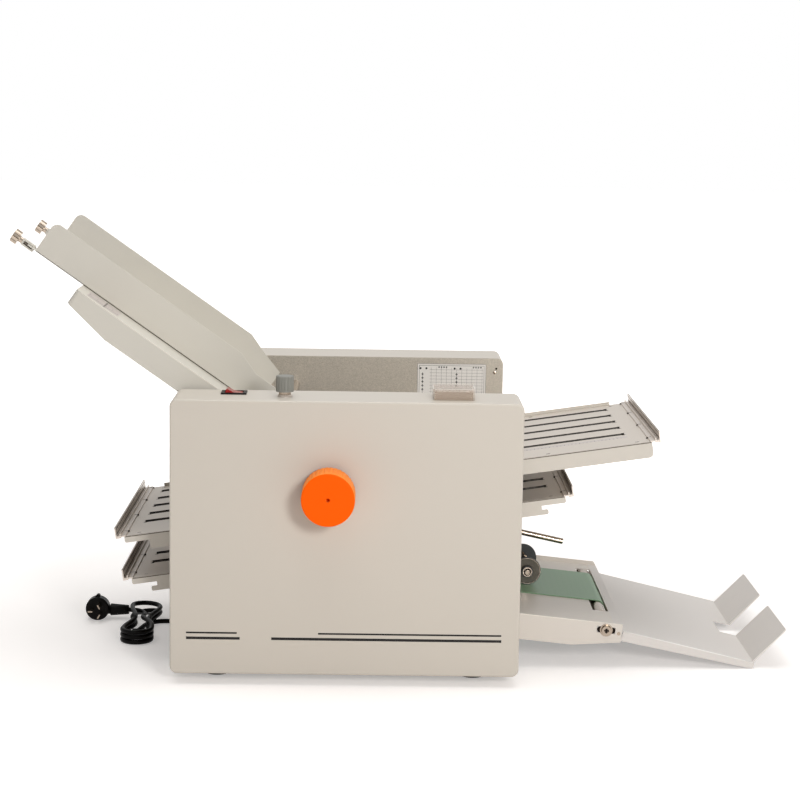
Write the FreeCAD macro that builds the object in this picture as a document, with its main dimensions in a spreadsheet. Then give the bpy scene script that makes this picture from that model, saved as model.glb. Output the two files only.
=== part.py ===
import FreeCAD, Part
import math
import os
import re
import Sketcher

# Paper folding machine: a feed table with two side guides, six folding rollers geared in one
# column, four buckle plates, a belt delivery and a hooked tray.
# Units are millimetres. +X runs towards the delivery, +Y from the hand knob to the rear cover,
# +Z up. The origin is on the desk, in the middle of the machine's outer box without its cord.
# An assembly that slopes is modelled flat in its own axes and then turned about Y.

SIZES = {
    # Covers, side frames, base and feet
    "cover_length": 440,
    "cover_depth": 92.5,
    "cover_height": 349,
    "cover_wall": 1.5,
    "cover_corner": 9,
    "cover_edge": 2.5,
    "frame_gap": 351,
    "frame_wall": 2,
    "frame_inset": 0.5,
    "foot_height": 14,
    "foot_radius": 17.5,
    "foot_taper": 2,
    "foot_from_end": 56,
    "foot_from_face": 60,
    "base_inset": 34,
    "base_lift": 4.5,
    "base_flange": 10,
    "rod_radius": 6,
    "upper_rod_from_end": 20,
    "upper_rod_rise": 32.7,
    "carrier_rod_from_end": 55,
    "carrier_rod_drop": 33.4,
    "lower_rod_from_left": 18,
    "lower_rod_rise": 25.8,
    "left_rod_from_left": 36,
    "left_rod_height": 300,
    "stud_radius": 4,
    "stud_length": 14,
    "vent_length": 70,
    "vent_width": 5,
    "vent_pitch": 12,
    "vent_count": 6,
    "vent_from_end": 45,
    "vent_above_foot": 30,
    # Folding rollers and their gears
    "knob_from_left": 198.4,
    "knob_height": 248.3,
    "roller_pitch": 28,
    "roller_gap": 0.4,
    "roller_end_gap": 5.5,
    "shaft_radius": 5,
    "bearing_half": 11,
    "bearing_thickness": 4,
    "bearing_clear": 2,
    "bush_play": 0.05,
    "gear_teeth": 20,
    "gear_width": 8,
    "gear_gap": 1.5,
    "tooth_height": 1.15,
    "tooth_depth": 1.5,
    "tooth_tip_half": 0.42,
    "tooth_root_half": 1.25,
    "belt_width": 8,
    "belt_thickness": 2,
    "belt_play": 0.3,
    "pulley_gap": 1.5,
    # Hand knob
    "knob_radius": 33.3,
    "knob_length": 45,
    "knob_gap": 5,
    "knob_edge": 2,
    "knob_ribs": 36,
    "knob_rib_start": 3,
    "knob_rib_depth": 0.7,
    "knob_rib_half": 1.1,
    "knob_hub": 12,
    "knob_screw_radius": 2.5,
    "knob_screw_depth": 8,
    # Motor and belt drives
    "motor_x": 76,
    "motor_z": 66,
    "motor_radius": 35,
    "motor_length": 92,
    "motor_shaft": 4,
    "motor_pulley": 12,
    "main_pulley": 26,
    "feed_pulley": 12,
    "delivery_pulley": 8,
    # Buckle plates
    "plate_tilt": 8.5,
    "plate_side_gap": 8,
    "plate_wall": 1.2,
    "plate_slit": 3,
    "plate_mouth": 16,
    "plate_flange": 20.4,
    "plate_corner": 6,
    "strip_depth": 8.5,
    "notch_height": 5.5,
    "notch_inset": 32,
    "hook_inset": 24,
    "right_plate_rise": 2.35,
    "left_plate_drop": 1.35,
    "upper_right_length": 418,
    "upper_left_length": 276,
    "lower_right_length": 298,
    "lower_left_length": 275,
    "slot_width": 12,
    "slot_pitch": 53,
    "slot_count": 5,
    "slot_shift": 22,
    "slot_start": 40,
    "slot_margin": 18,
    "upper_right_slot_margin": 26.5,
    "bar_reach": 11,
    "bar_height": 13,
    "bar_wall": 1.5,
    "bar_lap": 2,
    "bar_overhang": 1.5,
    "stop_width": 12,
    "stop_height": 5,
    "stop_finger": 8,
    "stop_play": 0.3,
    "stop_thumb_radius": 8,
    "stop_thumb_height": 8,
    "upper_right_stop": 160,
    "upper_left_stop": 110,
    "lower_right_stop": 120,
    "lower_left_stop": 100,
    "inner_stud": 60,
    "right_outer_stud": 210,
    "left_outer_stud": 170,
    # Feed table, guides and separator
    "table_tilt": 34.9,
    "table_end_from_left": 100.202,
    "table_end_height": 329.043,
    "table_side_gap": 7.5,
    "table_wall": 1.5,
    "table_length": 278,
    "skirt_start": 21.4,
    "skirt_depth": 33,
    "skirt_chamfer": 66,
    "table_corner": 6,
    "table_stud_upper": 66,
    "table_stud_lower": 16,
    "table_stud_drop": 20,
    "guide_spread": 217,
    "guide_height": 47,
    "guide_low_height": 35.6,
    "guide_overhang": 75.8,
    "guide_end_height": 25.7,
    "guide_end_reach": 5,
    "guide_step_run": 33,
    "guide_crest_run": 63.4,
    "guide_corner": 10,
    "guide_wall": 1.5,
    "guide_foot": 20,
    "guide_lift": 0.3,
    "ear_reach": 21.2,
    "ear_length": 18,
    "ear_half": 4.5,
    "ear_groove_length": 13,
    "ear_groove_half": 2.25,
    "ear_groove_depth": 3,
    "guide_screw_radius": 2.4,
    "guide_screw_gap": 0.3,
    "guide_screw_neck": 5.3,
    "guide_screw_neck_radius": 4,
    "guide_screw_head": 9.5,
    "guide_screw_head_length": 9,
    "guide_screw_knurls": 12,
    "guide_knurl_depth": 0.8,
    "guide_knurl_half": 0.9,
    "guide_screw_play": 0.1,
    "guide_bar_radius": 5,
    "guide_bar_gap": 5,
    "guide_bar_drop": 9,
    "guide_block_half": 7,
    "feed_gap": 18,
    "feed_radius": 18,
    "feed_ring": 30,
    "feed_ring_pitch": 75,
    "feed_core": 8,
    "pad_length": 22,
    "pad_width": 50,
    "pad_thickness": 4,
    "pad_gap": 0.5,
    "separator_rise": 34,
    "separator_wall": 2,
    # Delivery belt table
    "delivery_tilt": 5.7,
    "drive_from_left": 247,
    "delivery_top": 92.5,
    "delivery_side_gap": 4,
    "delivery_wall": 1.5,
    "delivery_start": 14,
    "delivery_length": 337,
    "delivery_depth": 34,
    "delivery_end_depth": 24,
    "delivery_taper": 274,
    "delivery_rail": 5.5,
    "belt_stud_left": 40,
    "belt_stud_right": 165,
    "belt_stud_drop": 17,
    "belt_roller_radius": 9.5,
    "idler_along": 316.2,
    "idler_length": 242,
    "idler_shift": 16,
    "window_before": 12.2,
    "window_after": 8.9,
    "window_overrun": 2,
    "web_thickness": 1,
    "web_width": 162,
    "web_shift": 27,
    "axle_radius": 4,
    "axle_head_radius": 6,
    "axle_head_length": 5,
    "axle_slot_half": 12,
    "hook_rod_radius": 2.5,
    "hook_rod_along": 333,
    "hook_rod_drop": 12.6,
    # Press wheels
    "press_rod_radius": 4,
    "press_rod_tilt": 12,
    "press_rod_run": 135.4,
    "press_rod_drop": 48,
    "press_rod_length": 144,
    "press_rod_shift": 36,
    "press_rod_seat": 8,
    "press_seat_height": 24,
    "carriage_from_end": 82,
    "carriage_half": 8,
    "carriage_play": 0.1,
    "pivot_drop": 10,
    "pivot_radius": 2.5,
    "arm_wall": 2,
    "arm_gap": 1,
    "arm_end_radius": 7,
    "wheel_back": 52.4,
    "wheel_radius": 19,
    "wheel_width": 5,
    "wheel_pitch": 84,
    "wheel_hub_radius": 8,
    "wheel_hub_width": 9,
    "wheel_axle_radius": 3,
    "wheel_play": 0.3,
    # Delivery tray
    "tray_side_gap": 5.5,
    "tray_wall": 1.2,
    "tray_length": 184.5,
    "tray_flange": 14,
    "tray_end_flange": 8.5,
    "tray_flange_start": 6,
    "tray_hook_depth": 8,
    "tray_play": 0.3,
    "tab_rise": 46.5,
    "tab_length": 60,
    "tab_inset": 7,
    "tab_gap": 59,
    "tab_gap_depth": 24,
    "tab_corner": 4,
    "desk_gap": 0.3,
    # Controls on the front cover
    "switch_x": 76,
    "switch_y": 61.5,
    "switch_length": 32,
    "switch_width": 27,
    "switch_rim": 2,
    "switch_rim_height": 2,
    "switch_depth": 20,
    "switch_play": 0.5,
    "rocker_peak": 7.5,
    "rocker_pin_radius": 1.5,
    "rocker_pin_reach": 1.2,
    "speed_x": 141,
    "speed_y": 40,
    "speed_radius": 11.2,
    "speed_height": 20,
    "speed_ribs": 16,
    "speed_rib_depth": 0.7,
    "speed_rib_half": 0.9,
    "nut_radius": 7.5,
    "nut_height": 6,
    "speed_shaft": 3,
    "counter_x": 353,
    "counter_y": 46,
    "counter_length": 52,
    "counter_width": 46,
    "counter_height": 14,
    "counter_wall": 2,
    "counter_corner": 2,
    # Cord
    "cord_radius": 3.3,
    "gland_x": 22,
    "gland_z": 46,
    "gland_radius": 7,
    "gland_length": 22,
    "gland_flange_radius": 10,
    "gland_flange_width": 3,
    "gland_mouth": 4.5,
    "hank_height": 27,
    "hank_round": 8,
    "hank_left": -91,
    "plug_x": -132.5,
    "plug_y": 324,
    "plug_radius": 16.5,
    "plug_length": 30,
    "plug_edge": 1.5,
    "plug_waist": 11,
    "plug_neck": 7.2,
    "plug_neck_drop": 4,
    "plug_neck_end": 5,
    "pin_length": 17,
    "pin_width": 6.3,
    "pin_thickness": 1.6,
    "pin_circle": 7.9,
}



def plate_line(nip, x):
    """Gives the height, above a place along the cover, of the line through a nip along the plates."""
    return "knob_height - %g * step_z + (%s - knob_from_left - %g * step_x) * tan(plate_tilt)" % (nip, x, nip)


# Places and sizes worked out from the driving sizes above.
PLACES = {
    "knob_reach": "knob_gap + knob_length",
    "machine_depth": "2 * cover_depth + frame_gap",
    "step_x": "roller_pitch * sin(plate_tilt)",
    "step_z": "roller_pitch * cos(plate_tilt)",
    "upper_rod_height": plate_line(0.5, "cover_length - upper_rod_from_end") + " + upper_rod_rise",
    "carrier_rod_height": plate_line(2.5, "cover_length - carrier_rod_from_end") + " - carrier_rod_drop",
    "lower_rod_height": plate_line(3.5, "lower_rod_from_left") + " + lower_rod_rise",
    "press_rod_end_height": "carrier_rod_height - press_rod_drop",
    "table_from_left": "table_length * cos(table_tilt) - table_end_from_left",
    "table_top": "table_end_height + table_length * sin(table_tilt)",
    "roller_length": "frame_gap - 2 * roller_end_gap",
    "plate_width": "frame_gap - 2 * plate_side_gap",
    "bar_length": "plate_width + 2 * bar_overhang",
    "table_width": "frame_gap - 2 * table_side_gap",
    "delivery_width": "frame_gap - 2 * delivery_side_gap",
    "tray_width": "delivery_width - 2 * tray_side_gap",
    "guide_end": "table_length + guide_end_reach",
    "guide_step": "guide_end - guide_step_run",
    "guide_crest": "guide_end - guide_crest_run",
    "feed_along": "table_length + feed_radius + feed_gap",
    "guide_bar_along": "feed_along - feed_radius - guide_bar_radius - guide_bar_gap",
    "press_rod_end": "cover_length - carrier_rod_from_end + press_rod_run",
    "wheel_from_left": "press_rod_end - wheel_back",
    "front": "(knob_reach - machine_depth) / 2",
    "middle": "front + machine_depth / 2",
    "screw_out": "guide_overhang + ear_reach + guide_screw_neck + guide_screw_head_length",
    "reach_left": "table_from_left + screw_out * cos(table_tilt) + guide_screw_head * sin(table_tilt)",
    "hook_x": "drive_from_left + hook_rod_along * cos(delivery_tilt) - hook_rod_drop * sin(delivery_tilt)",
    "hook_z": "delivery_top - hook_rod_along * sin(delivery_tilt) - hook_rod_drop * cos(delivery_tilt)",
    "tray_crest": "hook_rod_radius + tray_play + tray_wall",
    "tray_drop": "tray_end_flange - tray_crest",
    "tray_run": "sqrt(tray_length^2 + tray_drop^2)",
    "tray_tilt": "(asin((hook_z - desk_gap) / tray_run) - atan(tray_drop / tray_length)) / 1 deg",
    "tab_x": "tray_length * cos(tray_tilt) + tray_crest * sin(tray_tilt)",
    "tab_turn": "tab_rise + tray_tilt",
    "reach_right": "hook_x + tab_x + tab_length * cos(tab_rise)",
    "left": "(reach_left - reach_right) / 2",
    "frame_low": "foot_height + frame_inset",
    "half_gap": "frame_gap / 2",
    "frame_out": "half_gap + frame_wall",
    "shaft_front": "-(frame_out + bearing_thickness + 3)",
    "gear_start": "frame_out + bearing_thickness + gear_gap",
    "gear_end": "gear_start + gear_width",
    "belt_start": "gear_end + pulley_gap",
    "belt_end": "belt_start + belt_width",
    "outer_belt_start": "belt_end + 2 * pulley_gap",
    "outer_belt_end": "outer_belt_start + belt_width",
    "roller_radius": "(roller_pitch - roller_gap) / 2",
    "roller_half": "roller_length / 2",
    "gear_radius": "roller_pitch / 2",
    "stack_x": "left + knob_from_left",
    "table_x": "left - table_from_left",
    "table_half": "table_width / 2",
    "feed_x": "table_x + feed_along * cos(table_tilt) - feed_radius * sin(table_tilt)",
    "feed_z": "table_top - feed_along * sin(table_tilt) - feed_radius * cos(table_tilt)",
    "plate_half": "plate_width / 2",
    "plate_total": "2 * plate_wall + plate_slit",
    "drive_x": "left + drive_from_left - belt_roller_radius * sin(delivery_tilt)",
    "drive_z": "delivery_top - belt_roller_radius * cos(delivery_tilt)",
    "delivery_half": "delivery_width / 2",
    "tray_half": "tray_width / 2",
    "press_x": "left + press_rod_end",
    "carriage_x": "press_x - carriage_from_end * cos(press_rod_tilt)",
    "carriage_z": "press_rod_end_height + carriage_from_end * sin(press_rod_tilt)",
    "pivot_x": "carriage_x - pivot_drop * sin(press_rod_tilt)",
    "pivot_z": "carriage_z - pivot_drop * cos(press_rod_tilt)",
    "wheel_x": "left + wheel_from_left",
    "web_lift": "web_thickness + belt_play + wheel_play",
    "wheel_run": "(wheel_from_left - drive_from_left) * tan(delivery_tilt)",
    "wheel_z": "delivery_top - wheel_run + (wheel_radius + web_lift) / cos(delivery_tilt)",
    "arm_length": "sqrt((wheel_x - pivot_x)^2 + (wheel_z - pivot_z)^2)",
    "arm_turn": "atan2(pivot_z - wheel_z; wheel_x - pivot_x)",
    "wheel_y": "middle + press_rod_shift",
    "top": "foot_height + cover_height",
    "separator_x": "feed_x + separator_rise * sin(table_tilt)",
    "separator_z": "feed_z + separator_rise * cos(table_tilt)",
}

document = FreeCAD.newDocument("paper_folding_machine")
sheet = document.addObject("Spreadsheet::Sheet", "Size")
places = document.addObject("Spreadsheet::Sheet", "Place")
nodes = {}


def linked(formula):
    """Turns the plain names in a formula into references to the cells of the two sheets."""
    def cell(word):
        if word.group() in SIZES:
            return "Size." + word.group()
        if word.group() in PLACES:
            return "Place." + word.group()
        return word.group()
    return re.sub(r"[a-z_][a-z0-9_]*", cell, str(formula))


def fill_sheets():
    """Writes the driving sizes and the places worked out from them into the two sheets."""
    for row, (name, number) in enumerate(SIZES.items(), start=1):
        sheet.set("A%d" % row, name)
        sheet.set("B%d" % row, str(number))
        sheet.setAlias("B%d" % row, name)
    document.recompute()
    for row, (name, formula) in enumerate(PLACES.items(), start=1):
        places.set("A%d" % row, name)
        places.setAlias("B%d" % row, name)
        places.set("B%d" % row, "=" + linked(formula).replace("Place.", ""))
    document.recompute()


def number(formula):
    """Gives the number that a formula of sizes has now."""
    return float(places.evalExpression(linked(formula).replace("Place.", "")))


def bind(thing, **formulas):
    """Binds properties of an object to formulas of sizes."""
    for name, formula in formulas.items():
        thing.setExpression(name, linked(formula))


def place(thing, x="0", y="0", z="0", turn=None, about=(0, 1, 0)):
    """Binds an object's place, and its turn about an axis, to formulas of sizes."""
    if turn is not None:
        rotation = FreeCAD.Rotation(FreeCAD.Vector(*about), number(turn))
        thing.Placement = FreeCAD.Placement(FreeCAD.Vector(), rotation)
        thing.setExpression("Placement.Rotation.Angle", linked(turn))
    for letter, formula in zip("xyz", (x, y, z)):
        thing.setExpression("Placement.Base." + letter, linked(formula))
    return thing


def node(thing, name):
    """Names an object as one of the sub-parts that are written out."""
    thing.Label = name
    nodes[name] = thing
    return thing


def new_body(name):
    """Starts the body of one sub-part."""
    return node(document.addObject("PartDesign::Body", name), name)


def origin_of(body, role):
    """Finds one of a body's own origin planes or axes."""
    return [item for item in body.Origin.OriginFeatures if item.Role == role][0]


def sketch_on(body, role, offset="0"):
    """Starts a sketch on an origin plane of the body, moved along the plane's normal."""
    sketch = body.newObject("Sketcher::SketchObject", body.Name + "_sketch")
    sketch.AttachmentSupport = [(origin_of(body, role), "")]
    sketch.MapMode = "FlatFace"
    sketch.setExpression("AttachmentOffset.Base.z", linked(offset))
    return sketch


def fix(sketch, kind, *where_and_formula):
    """Adds a constraint whose value is a formula of sizes."""
    where = where_and_formula[:-1]
    formula = where_and_formula[-1]
    index = sketch.addConstraint(Sketcher.Constraint(kind, *where, number(formula)))
    sketch.setExpression("Constraints[%d]" % index, linked(formula))


def add_outline(sketch, points):
    """Draws a closed outline of straight lines; each point is a pair of formulas."""
    corners = [FreeCAD.Vector(number(u), number(v), 0) for u, v in points]
    first = sketch.GeometryCount
    count = len(points)
    for index in range(count):
        sketch.addGeometry(Part.LineSegment(corners[index], corners[(index + 1) % count]), False)
    for index in range(count):
        line = first + index
        after = first + (index + 1) % count
        sketch.addConstraint(Sketcher.Constraint("Coincident", line, 2, after, 1))
        fix(sketch, "DistanceX", line, 1, points[index][0])
        fix(sketch, "DistanceY", line, 1, points[index][1])


def add_box(sketch, low_u, low_v, high_u, high_v):
    """Draws a rectangle between two corners."""
    add_outline(sketch, [(low_u, low_v), (high_u, low_v), (high_u, high_v), (low_u, high_v)])


def add_round_box(sketch, low_u, low_v, high_u, high_v, radius):
    """Draws a rectangle between two corners, with round corners."""
    left_u = "%s + %s" % (low_u, radius)
    right_u = "%s - (%s)" % (high_u, radius)
    low = "%s + %s" % (low_v, radius)
    high = "%s - (%s)" % (high_v, radius)
    ends = [((left_u, low_v), (right_u, low_v)), ((high_u, low), (high_u, high)),
            ((right_u, high_v), (left_u, high_v)), ((low_u, high), (low_u, low))]
    centres = [(right_u, low), (right_u, high), (left_u, high), (left_u, low)]
    for start, end in ends:
        points = [FreeCAD.Vector(number(u), number(v), 0) for u, v in (start, end)]
        sketch.addGeometry(Part.LineSegment(*points), False)
    for index, (u, v) in enumerate(centres):
        centre = FreeCAD.Vector(number(u), number(v), 0)
        circle = Part.Circle(centre, FreeCAD.Vector(0, 0, 1), number(radius))
        quarter = math.pi / 2
        sketch.addGeometry(Part.ArcOfCircle(circle, (index - 1) * quarter, index * quarter), False)
    for index, (start, end) in enumerate(ends):
        fix(sketch, "DistanceX", index, 1, start[0])
        fix(sketch, "DistanceY", index, 1, start[1])
        fix(sketch, "DistanceX", index, 2, end[0])
        fix(sketch, "DistanceY", index, 2, end[1])
        sketch.addConstraint(Sketcher.Constraint("Coincident", index, 2, index + 4, 1))
        sketch.addConstraint(Sketcher.Constraint("Coincident", index + 4, 2, (index + 1) % 4, 1))
        fix(sketch, "Radius", index + 4, radius)


def add_circle(sketch, u, v, radius):
    """Draws a circle."""
    centre = FreeCAD.Vector(number(u), number(v), 0)
    circle = sketch.addGeometry(Part.Circle(centre, FreeCAD.Vector(0, 0, 1), number(radius)), False)
    fix(sketch, "DistanceX", circle, 3, u)
    fix(sketch, "DistanceY", circle, 3, v)
    fix(sketch, "Radius", circle, radius)


def pad(body, sketch, length, backwards=False):
    """Extrudes a sketch into material, along its plane's normal or against it."""
    feature = body.newObject("PartDesign::Pad", body.Name + "_pad")
    feature.Profile = sketch
    feature.Reversed = backwards
    bind(feature, Length=length)
    return feature


def pocket(body, sketch, length, backwards=False):
    """Cuts a sketch out of the body, against its plane's normal or along it (XZ faces -Y)."""
    feature = body.newObject("PartDesign::Pocket", body.Name + "_pocket")
    feature.Profile = sketch
    feature.Reversed = backwards
    bind(feature, Length=length)
    return feature


def turned(body, axis, points):
    """Revolves a profile about X, Y or Z; each point is a pair (along the axis, radius)."""
    plane = {"X": "XZ_Plane", "Y": "YZ_Plane", "Z": "XZ_Plane"}[axis]
    sketch = sketch_on(body, plane)
    if axis == "Z":
        points = [(radius, along) for along, radius in points]
    add_outline(sketch, points)
    feature = body.newObject("PartDesign::Revolution", body.Name + "_turned")
    feature.Profile = sketch
    feature.ReferenceAxis = (sketch, ["V_Axis" if axis == "Z" else "H_Axis"])
    feature.Angle = 360
    body.Tip = feature
    return feature


def around(body, feature, axis, count):
    """Repeats a feature evenly around an axis of the body."""
    pattern = body.newObject("PartDesign::PolarPattern", body.Name + "_pattern")
    pattern.Originals = [feature]
    pattern.Axis = (origin_of(body, axis + "_Axis"), [""])
    pattern.Angle = 360
    bind(pattern, Occurrences=count)
    body.Tip = pattern
    return pattern


def along(body, feature, axis, length, count):
    """Repeats a feature evenly over a length along an axis of the body."""
    pattern = body.newObject("PartDesign::LinearPattern", body.Name + "_row")
    pattern.Originals = [feature]
    pattern.Direction = (origin_of(body, axis + "_Axis"), [""])
    bind(pattern, Length=length, Occurrences=count)
    body.Tip = pattern
    return pattern


def round_edges(body, radius, wanted):
    """Rounds those edges of the body whose middle point passes the test."""
    document.recompute()
    base = body.Tip
    names = []
    for index, edge in enumerate(base.Shape.Edges, start=1):
        middle = edge.valueAt((edge.FirstParameter + edge.LastParameter) / 2)
        if wanted(middle, edge):
            names.append("Edge%d" % index)
    feature = body.newObject("PartDesign::Fillet", body.Name + "_round")
    feature.Base = (base, names)
    bind(feature, Radius=radius)
    body.Tip = feature
    return feature


def runs_along(edge, axis):
    """Tells whether a straight edge runs along the given axis."""
    if edge.Curve.TypeId != "Part::GeomLine":
        return False
    return abs(edge.Curve.Direction.dot(FreeCAD.Vector(*axis))) > 0.999


def near(value, formula):
    """Tells whether a coordinate lies at a formula of sizes."""
    return abs(value - number(formula)) < 0.01


def notch(body, plane, offset, radius, depth, half_width, length, backwards=False):
    """Cuts a V-shaped notch along the rim of a round piece, as wide as given at the rim itself."""
    wedge = sketch_on(body, plane, offset)
    rim = "%s + %s" % (radius, depth)
    add_outline(wedge, [("-2 * " + half_width, rim), ("2 * " + half_width, rim),
                        ("0", "%s - %s" % (radius, depth))])
    return pocket(body, wedge, length, backwards)


def across(bar, x, y, z):
    """Lays a bar along +Y from the place given."""
    bar.Placement = FreeCAD.Placement(FreeCAD.Vector(), FreeCAD.Rotation(FreeCAD.Vector(1, 0, 0), -90))
    return place(bar, x, y, z)


def cylinder(name, radius, length, x, y, z):
    """Makes a plain round bar along +Y."""
    bar = document.addObject("Part::Cylinder", name)
    bind(bar, Radius=radius, Height=length)
    return across(bar, x, y, z)


def standoff(length, x, y, z):
    """Makes a hexagonal standoff along +Y."""
    bar = document.addObject("Part::Prism", "standoff")
    bar.Polygon = 6
    bind(bar, Circumradius="stud_radius", Height=length)
    return across(bar, x, y, z)


def group(name, pieces):
    """Puts separate solids of one kind into one sub-part."""
    compound = document.addObject("Part::Compound", name)
    compound.Links = pieces
    return node(compound, name)


# Covers and frames

# The folding rollers from the hand knob down, and the shafts that have bearings of their own.
ROLLERS = "abcdef"
SINGLE_SHAFTS = (("feed_x", "feed_z"), ("drive_x", "drive_z"))
# The rod that carries the press rod, from the cover's left end, and then all the tie rods.
CARRIER_ROD = ("cover_length - carrier_rod_from_end", "carrier_rod_height")
TIE_RODS = (("separator_x - left", "separator_z"), CARRIER_ROD,
            ("cover_length - upper_rod_from_end", "upper_rod_height"),
            ("lower_rod_from_left", "lower_rod_height"), ("left_rod_from_left", "left_rod_height"))

def cover(name):
    """Makes a folded sheet cover: a shallow box, open on the side that its frame closes."""
    body = new_body(name)
    outer = sketch_on(body, "XZ_Plane")
    add_box(outer, "0", "0", "cover_length", "cover_height")
    pad(body, outer, "cover_depth - frame_wall", backwards=True)
    round_edges(body, "cover_corner", lambda middle, edge: runs_along(edge, (0, 1, 0)))
    round_edges(body, "cover_edge", lambda middle, edge: near(middle.y, "0"))
    inner = sketch_on(body, "XZ_Plane", "-cover_wall")
    add_round_box(inner, "cover_wall", "cover_wall", "cover_length - cover_wall",
                  "cover_height - cover_wall", "cover_corner - cover_wall")
    body.Tip = pocket(body, inner, "cover_depth")
    return body


def front_cover():
    """Cuts the knob shaft's hole and the openings of the controls in the front cover."""
    body = cover("front_cover")
    hole = sketch_on(body, "XZ_Plane")
    add_circle(hole, "knob_from_left", "knob_height - foot_height", "shaft_radius + 2")
    pocket(body, hole, "2 * cover_wall")
    controls = sketch_on(body, "XY_Plane", "cover_height")
    rim = "switch_rim + 0.5"
    add_box(controls, "switch_x - switch_length / 2 + " + rim, "switch_y - switch_width / 2 + " + rim,
            "switch_x + switch_length / 2 - switch_rim - 0.5",
            "switch_y + switch_width / 2 - switch_rim - 0.5")
    add_circle(controls, "speed_x", "speed_y", "speed_shaft + 1.5")
    body.Tip = pocket(body, controls, "2 * cover_wall")
    place(body, "left", "front", "foot_height")


def rear_cover():
    """Cuts ventilation slots in the rear cover, which faces the other way."""
    body = cover("rear_cover")
    slot = sketch_on(body, "XZ_Plane")
    near_end = "cover_length - vent_from_end - vent_length"
    add_box(slot, near_end, "vent_above_foot", "cover_length - vent_from_end",
            "vent_above_foot + vent_width")
    first = pocket(body, slot, "2 * cover_wall")
    along(body, first, "Z", "vent_pitch * (vent_count - 1)", "vent_count")
    place(body, "left + cover_length", "front + machine_depth", "foot_height", turn="180",
          about=(0, 0, 1))


def roller_centre(index):
    """Gives the formulas of a folding roller's place, counted from the hand knob down."""
    return "stack_x + %d * step_x" % index, "knob_height - %d * step_z" % index


def column_place(run, rise):
    """Gives the place of a point seen from the knob's axis, run along the plates and rise square to them."""
    x = "stack_x + (%s) * cos(plate_tilt) - (%s) * sin(plate_tilt)" % (run, rise)
    z = "knob_height + (%s) * sin(plate_tilt) + (%s) * cos(plate_tilt)" % (run, rise)
    return x, z


def side_frame(name, y):
    """Makes one galvanised side plate, open round the shafts where the bearing plates cover it."""
    body = new_body(name)
    outline = sketch_on(body, "XZ_Plane")
    add_box(outline, "frame_inset", "frame_inset", "cover_length - frame_inset",
            "cover_height - frame_inset")
    pad(body, outline, "frame_wall", backwards=True)
    round_edges(body, "cover_corner - frame_inset", lambda middle, edge: runs_along(edge, (0, 1, 0)))
    holes = sketch_on(body, "XZ_Plane")
    half = "(shaft_radius + bearing_clear)"
    low = "-%d * roller_pitch - %s" % (len(ROLLERS) - 1, half)
    corners = [column_place(*corner) for corner in (
        ("-" + half, half), (half, half), (half, low), ("-" + half, low))]
    add_outline(holes, [(x + " - left", z + " - foot_height") for x, z in corners])
    for x, z in SINGLE_SHAFTS:
        add_circle(holes, x + " - left", z + " - foot_height", half)
    if name == "rear_side_frame":
        add_circle(holes, "motor_x", "motor_z - foot_height", "motor_shaft + bearing_clear")
        add_circle(holes, "gland_x", "gland_z - foot_height", "gland_radius")
    body.Tip = pocket(body, holes, "2 * frame_wall")
    place(body, "left", y, "foot_height")


def base_plate():
    """Makes the pan that ties the two frames at the bottom, with a flange along each frame."""
    body = new_body("base_plate")
    section = sketch_on(body, "YZ_Plane")
    wall = "frame_wall"
    add_outline(section, [
        ("-half_gap", "0"), ("half_gap", "0"), ("half_gap", "base_flange"),
        ("half_gap - " + wall, "base_flange"), ("half_gap - " + wall, wall),
        (wall + " - half_gap", wall), (wall + " - half_gap", "base_flange"),
        ("-half_gap", "base_flange")])
    pad(body, section, "cover_length - 2 * base_inset")
    place(body, "left + base_inset", "middle", "frame_low + base_lift")


def tie_rods():
    """Makes the round bars that hold the frames apart."""
    rods = [cylinder("tie_rod", "rod_radius", "frame_gap", "left + " + x, "middle - half_gap", z)
            for x, z in TIE_RODS]
    group("tie_rods", rods)


PLATE_LIST = (
    # name, side of the column, number of its nip from the top, how far its slots stay from its end
    ("upper_right", 1, 0, "upper_right_slot_margin"),
    ("upper_left", -1, 1, "slot_margin"),
    ("lower_right", 1, 2, "slot_margin"),
    ("lower_left", -1, 3, "slot_margin"),
)


def plate_rise(side):
    """Gives the formula of a plate's top surface above its nip, square to the plate."""
    offset = "right_plate_rise" if side > 0 else "-left_plate_drop"
    return "(%s + plate_total / 2)" % offset


def nip_place(index, run, rise):
    """Gives the place of a point seen from a nip, run along the plates and rise square to them."""
    return column_place(run, "%s - %g * roller_pitch" % (rise, index + 0.5))


def pair_of_studs(x, z, length):
    """Makes one standoff on the inner face of each frame."""
    return [standoff(length, x, "middle - half_gap", z),
            standoff(length, x, "middle + half_gap - (%s)" % length, z)]


def sloping_place(x, z, tilt, run, drop):
    """Gives the place of a point under a sloping sheet, run down its slope and drop square to it."""
    return ("%s + (%s) * cos(%s) - %s * sin(%s)" % (x, run, tilt, drop, tilt),
            "%s - (%s) * sin(%s) - %s * cos(%s)" % (z, run, tilt, drop, tilt))


def frame_studs():
    """Makes the studs that carry the buckle plates, the feed table and the delivery table."""
    studs = []
    for name, side, nip, margin in PLATE_LIST:
        outer = "right_outer_stud" if side > 0 else "left_outer_stud"
        rise = plate_rise(side) + " - plate_flange - stop_play - stud_radius"
        for run in ("inner_stud", outer):
            x, z = nip_place(nip, times(side, run), rise)
            studs += pair_of_studs(x, z, "stud_length")
    for run in ("table_length - table_stud_upper", "table_length - table_stud_lower"):
        x, z = sloping_place("table_x", "table_top", "table_tilt", run, "table_stud_drop")
        studs += pair_of_studs(x, z, "half_gap - table_half")
    for run in ("belt_stud_left", "belt_stud_right"):
        x, z = sloping_place("left + drive_from_left", "delivery_top", "delivery_tilt", run, "belt_stud_drop")
        studs += pair_of_studs(x, z, "half_gap - delivery_half")
    group("frame_studs", studs)


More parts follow.
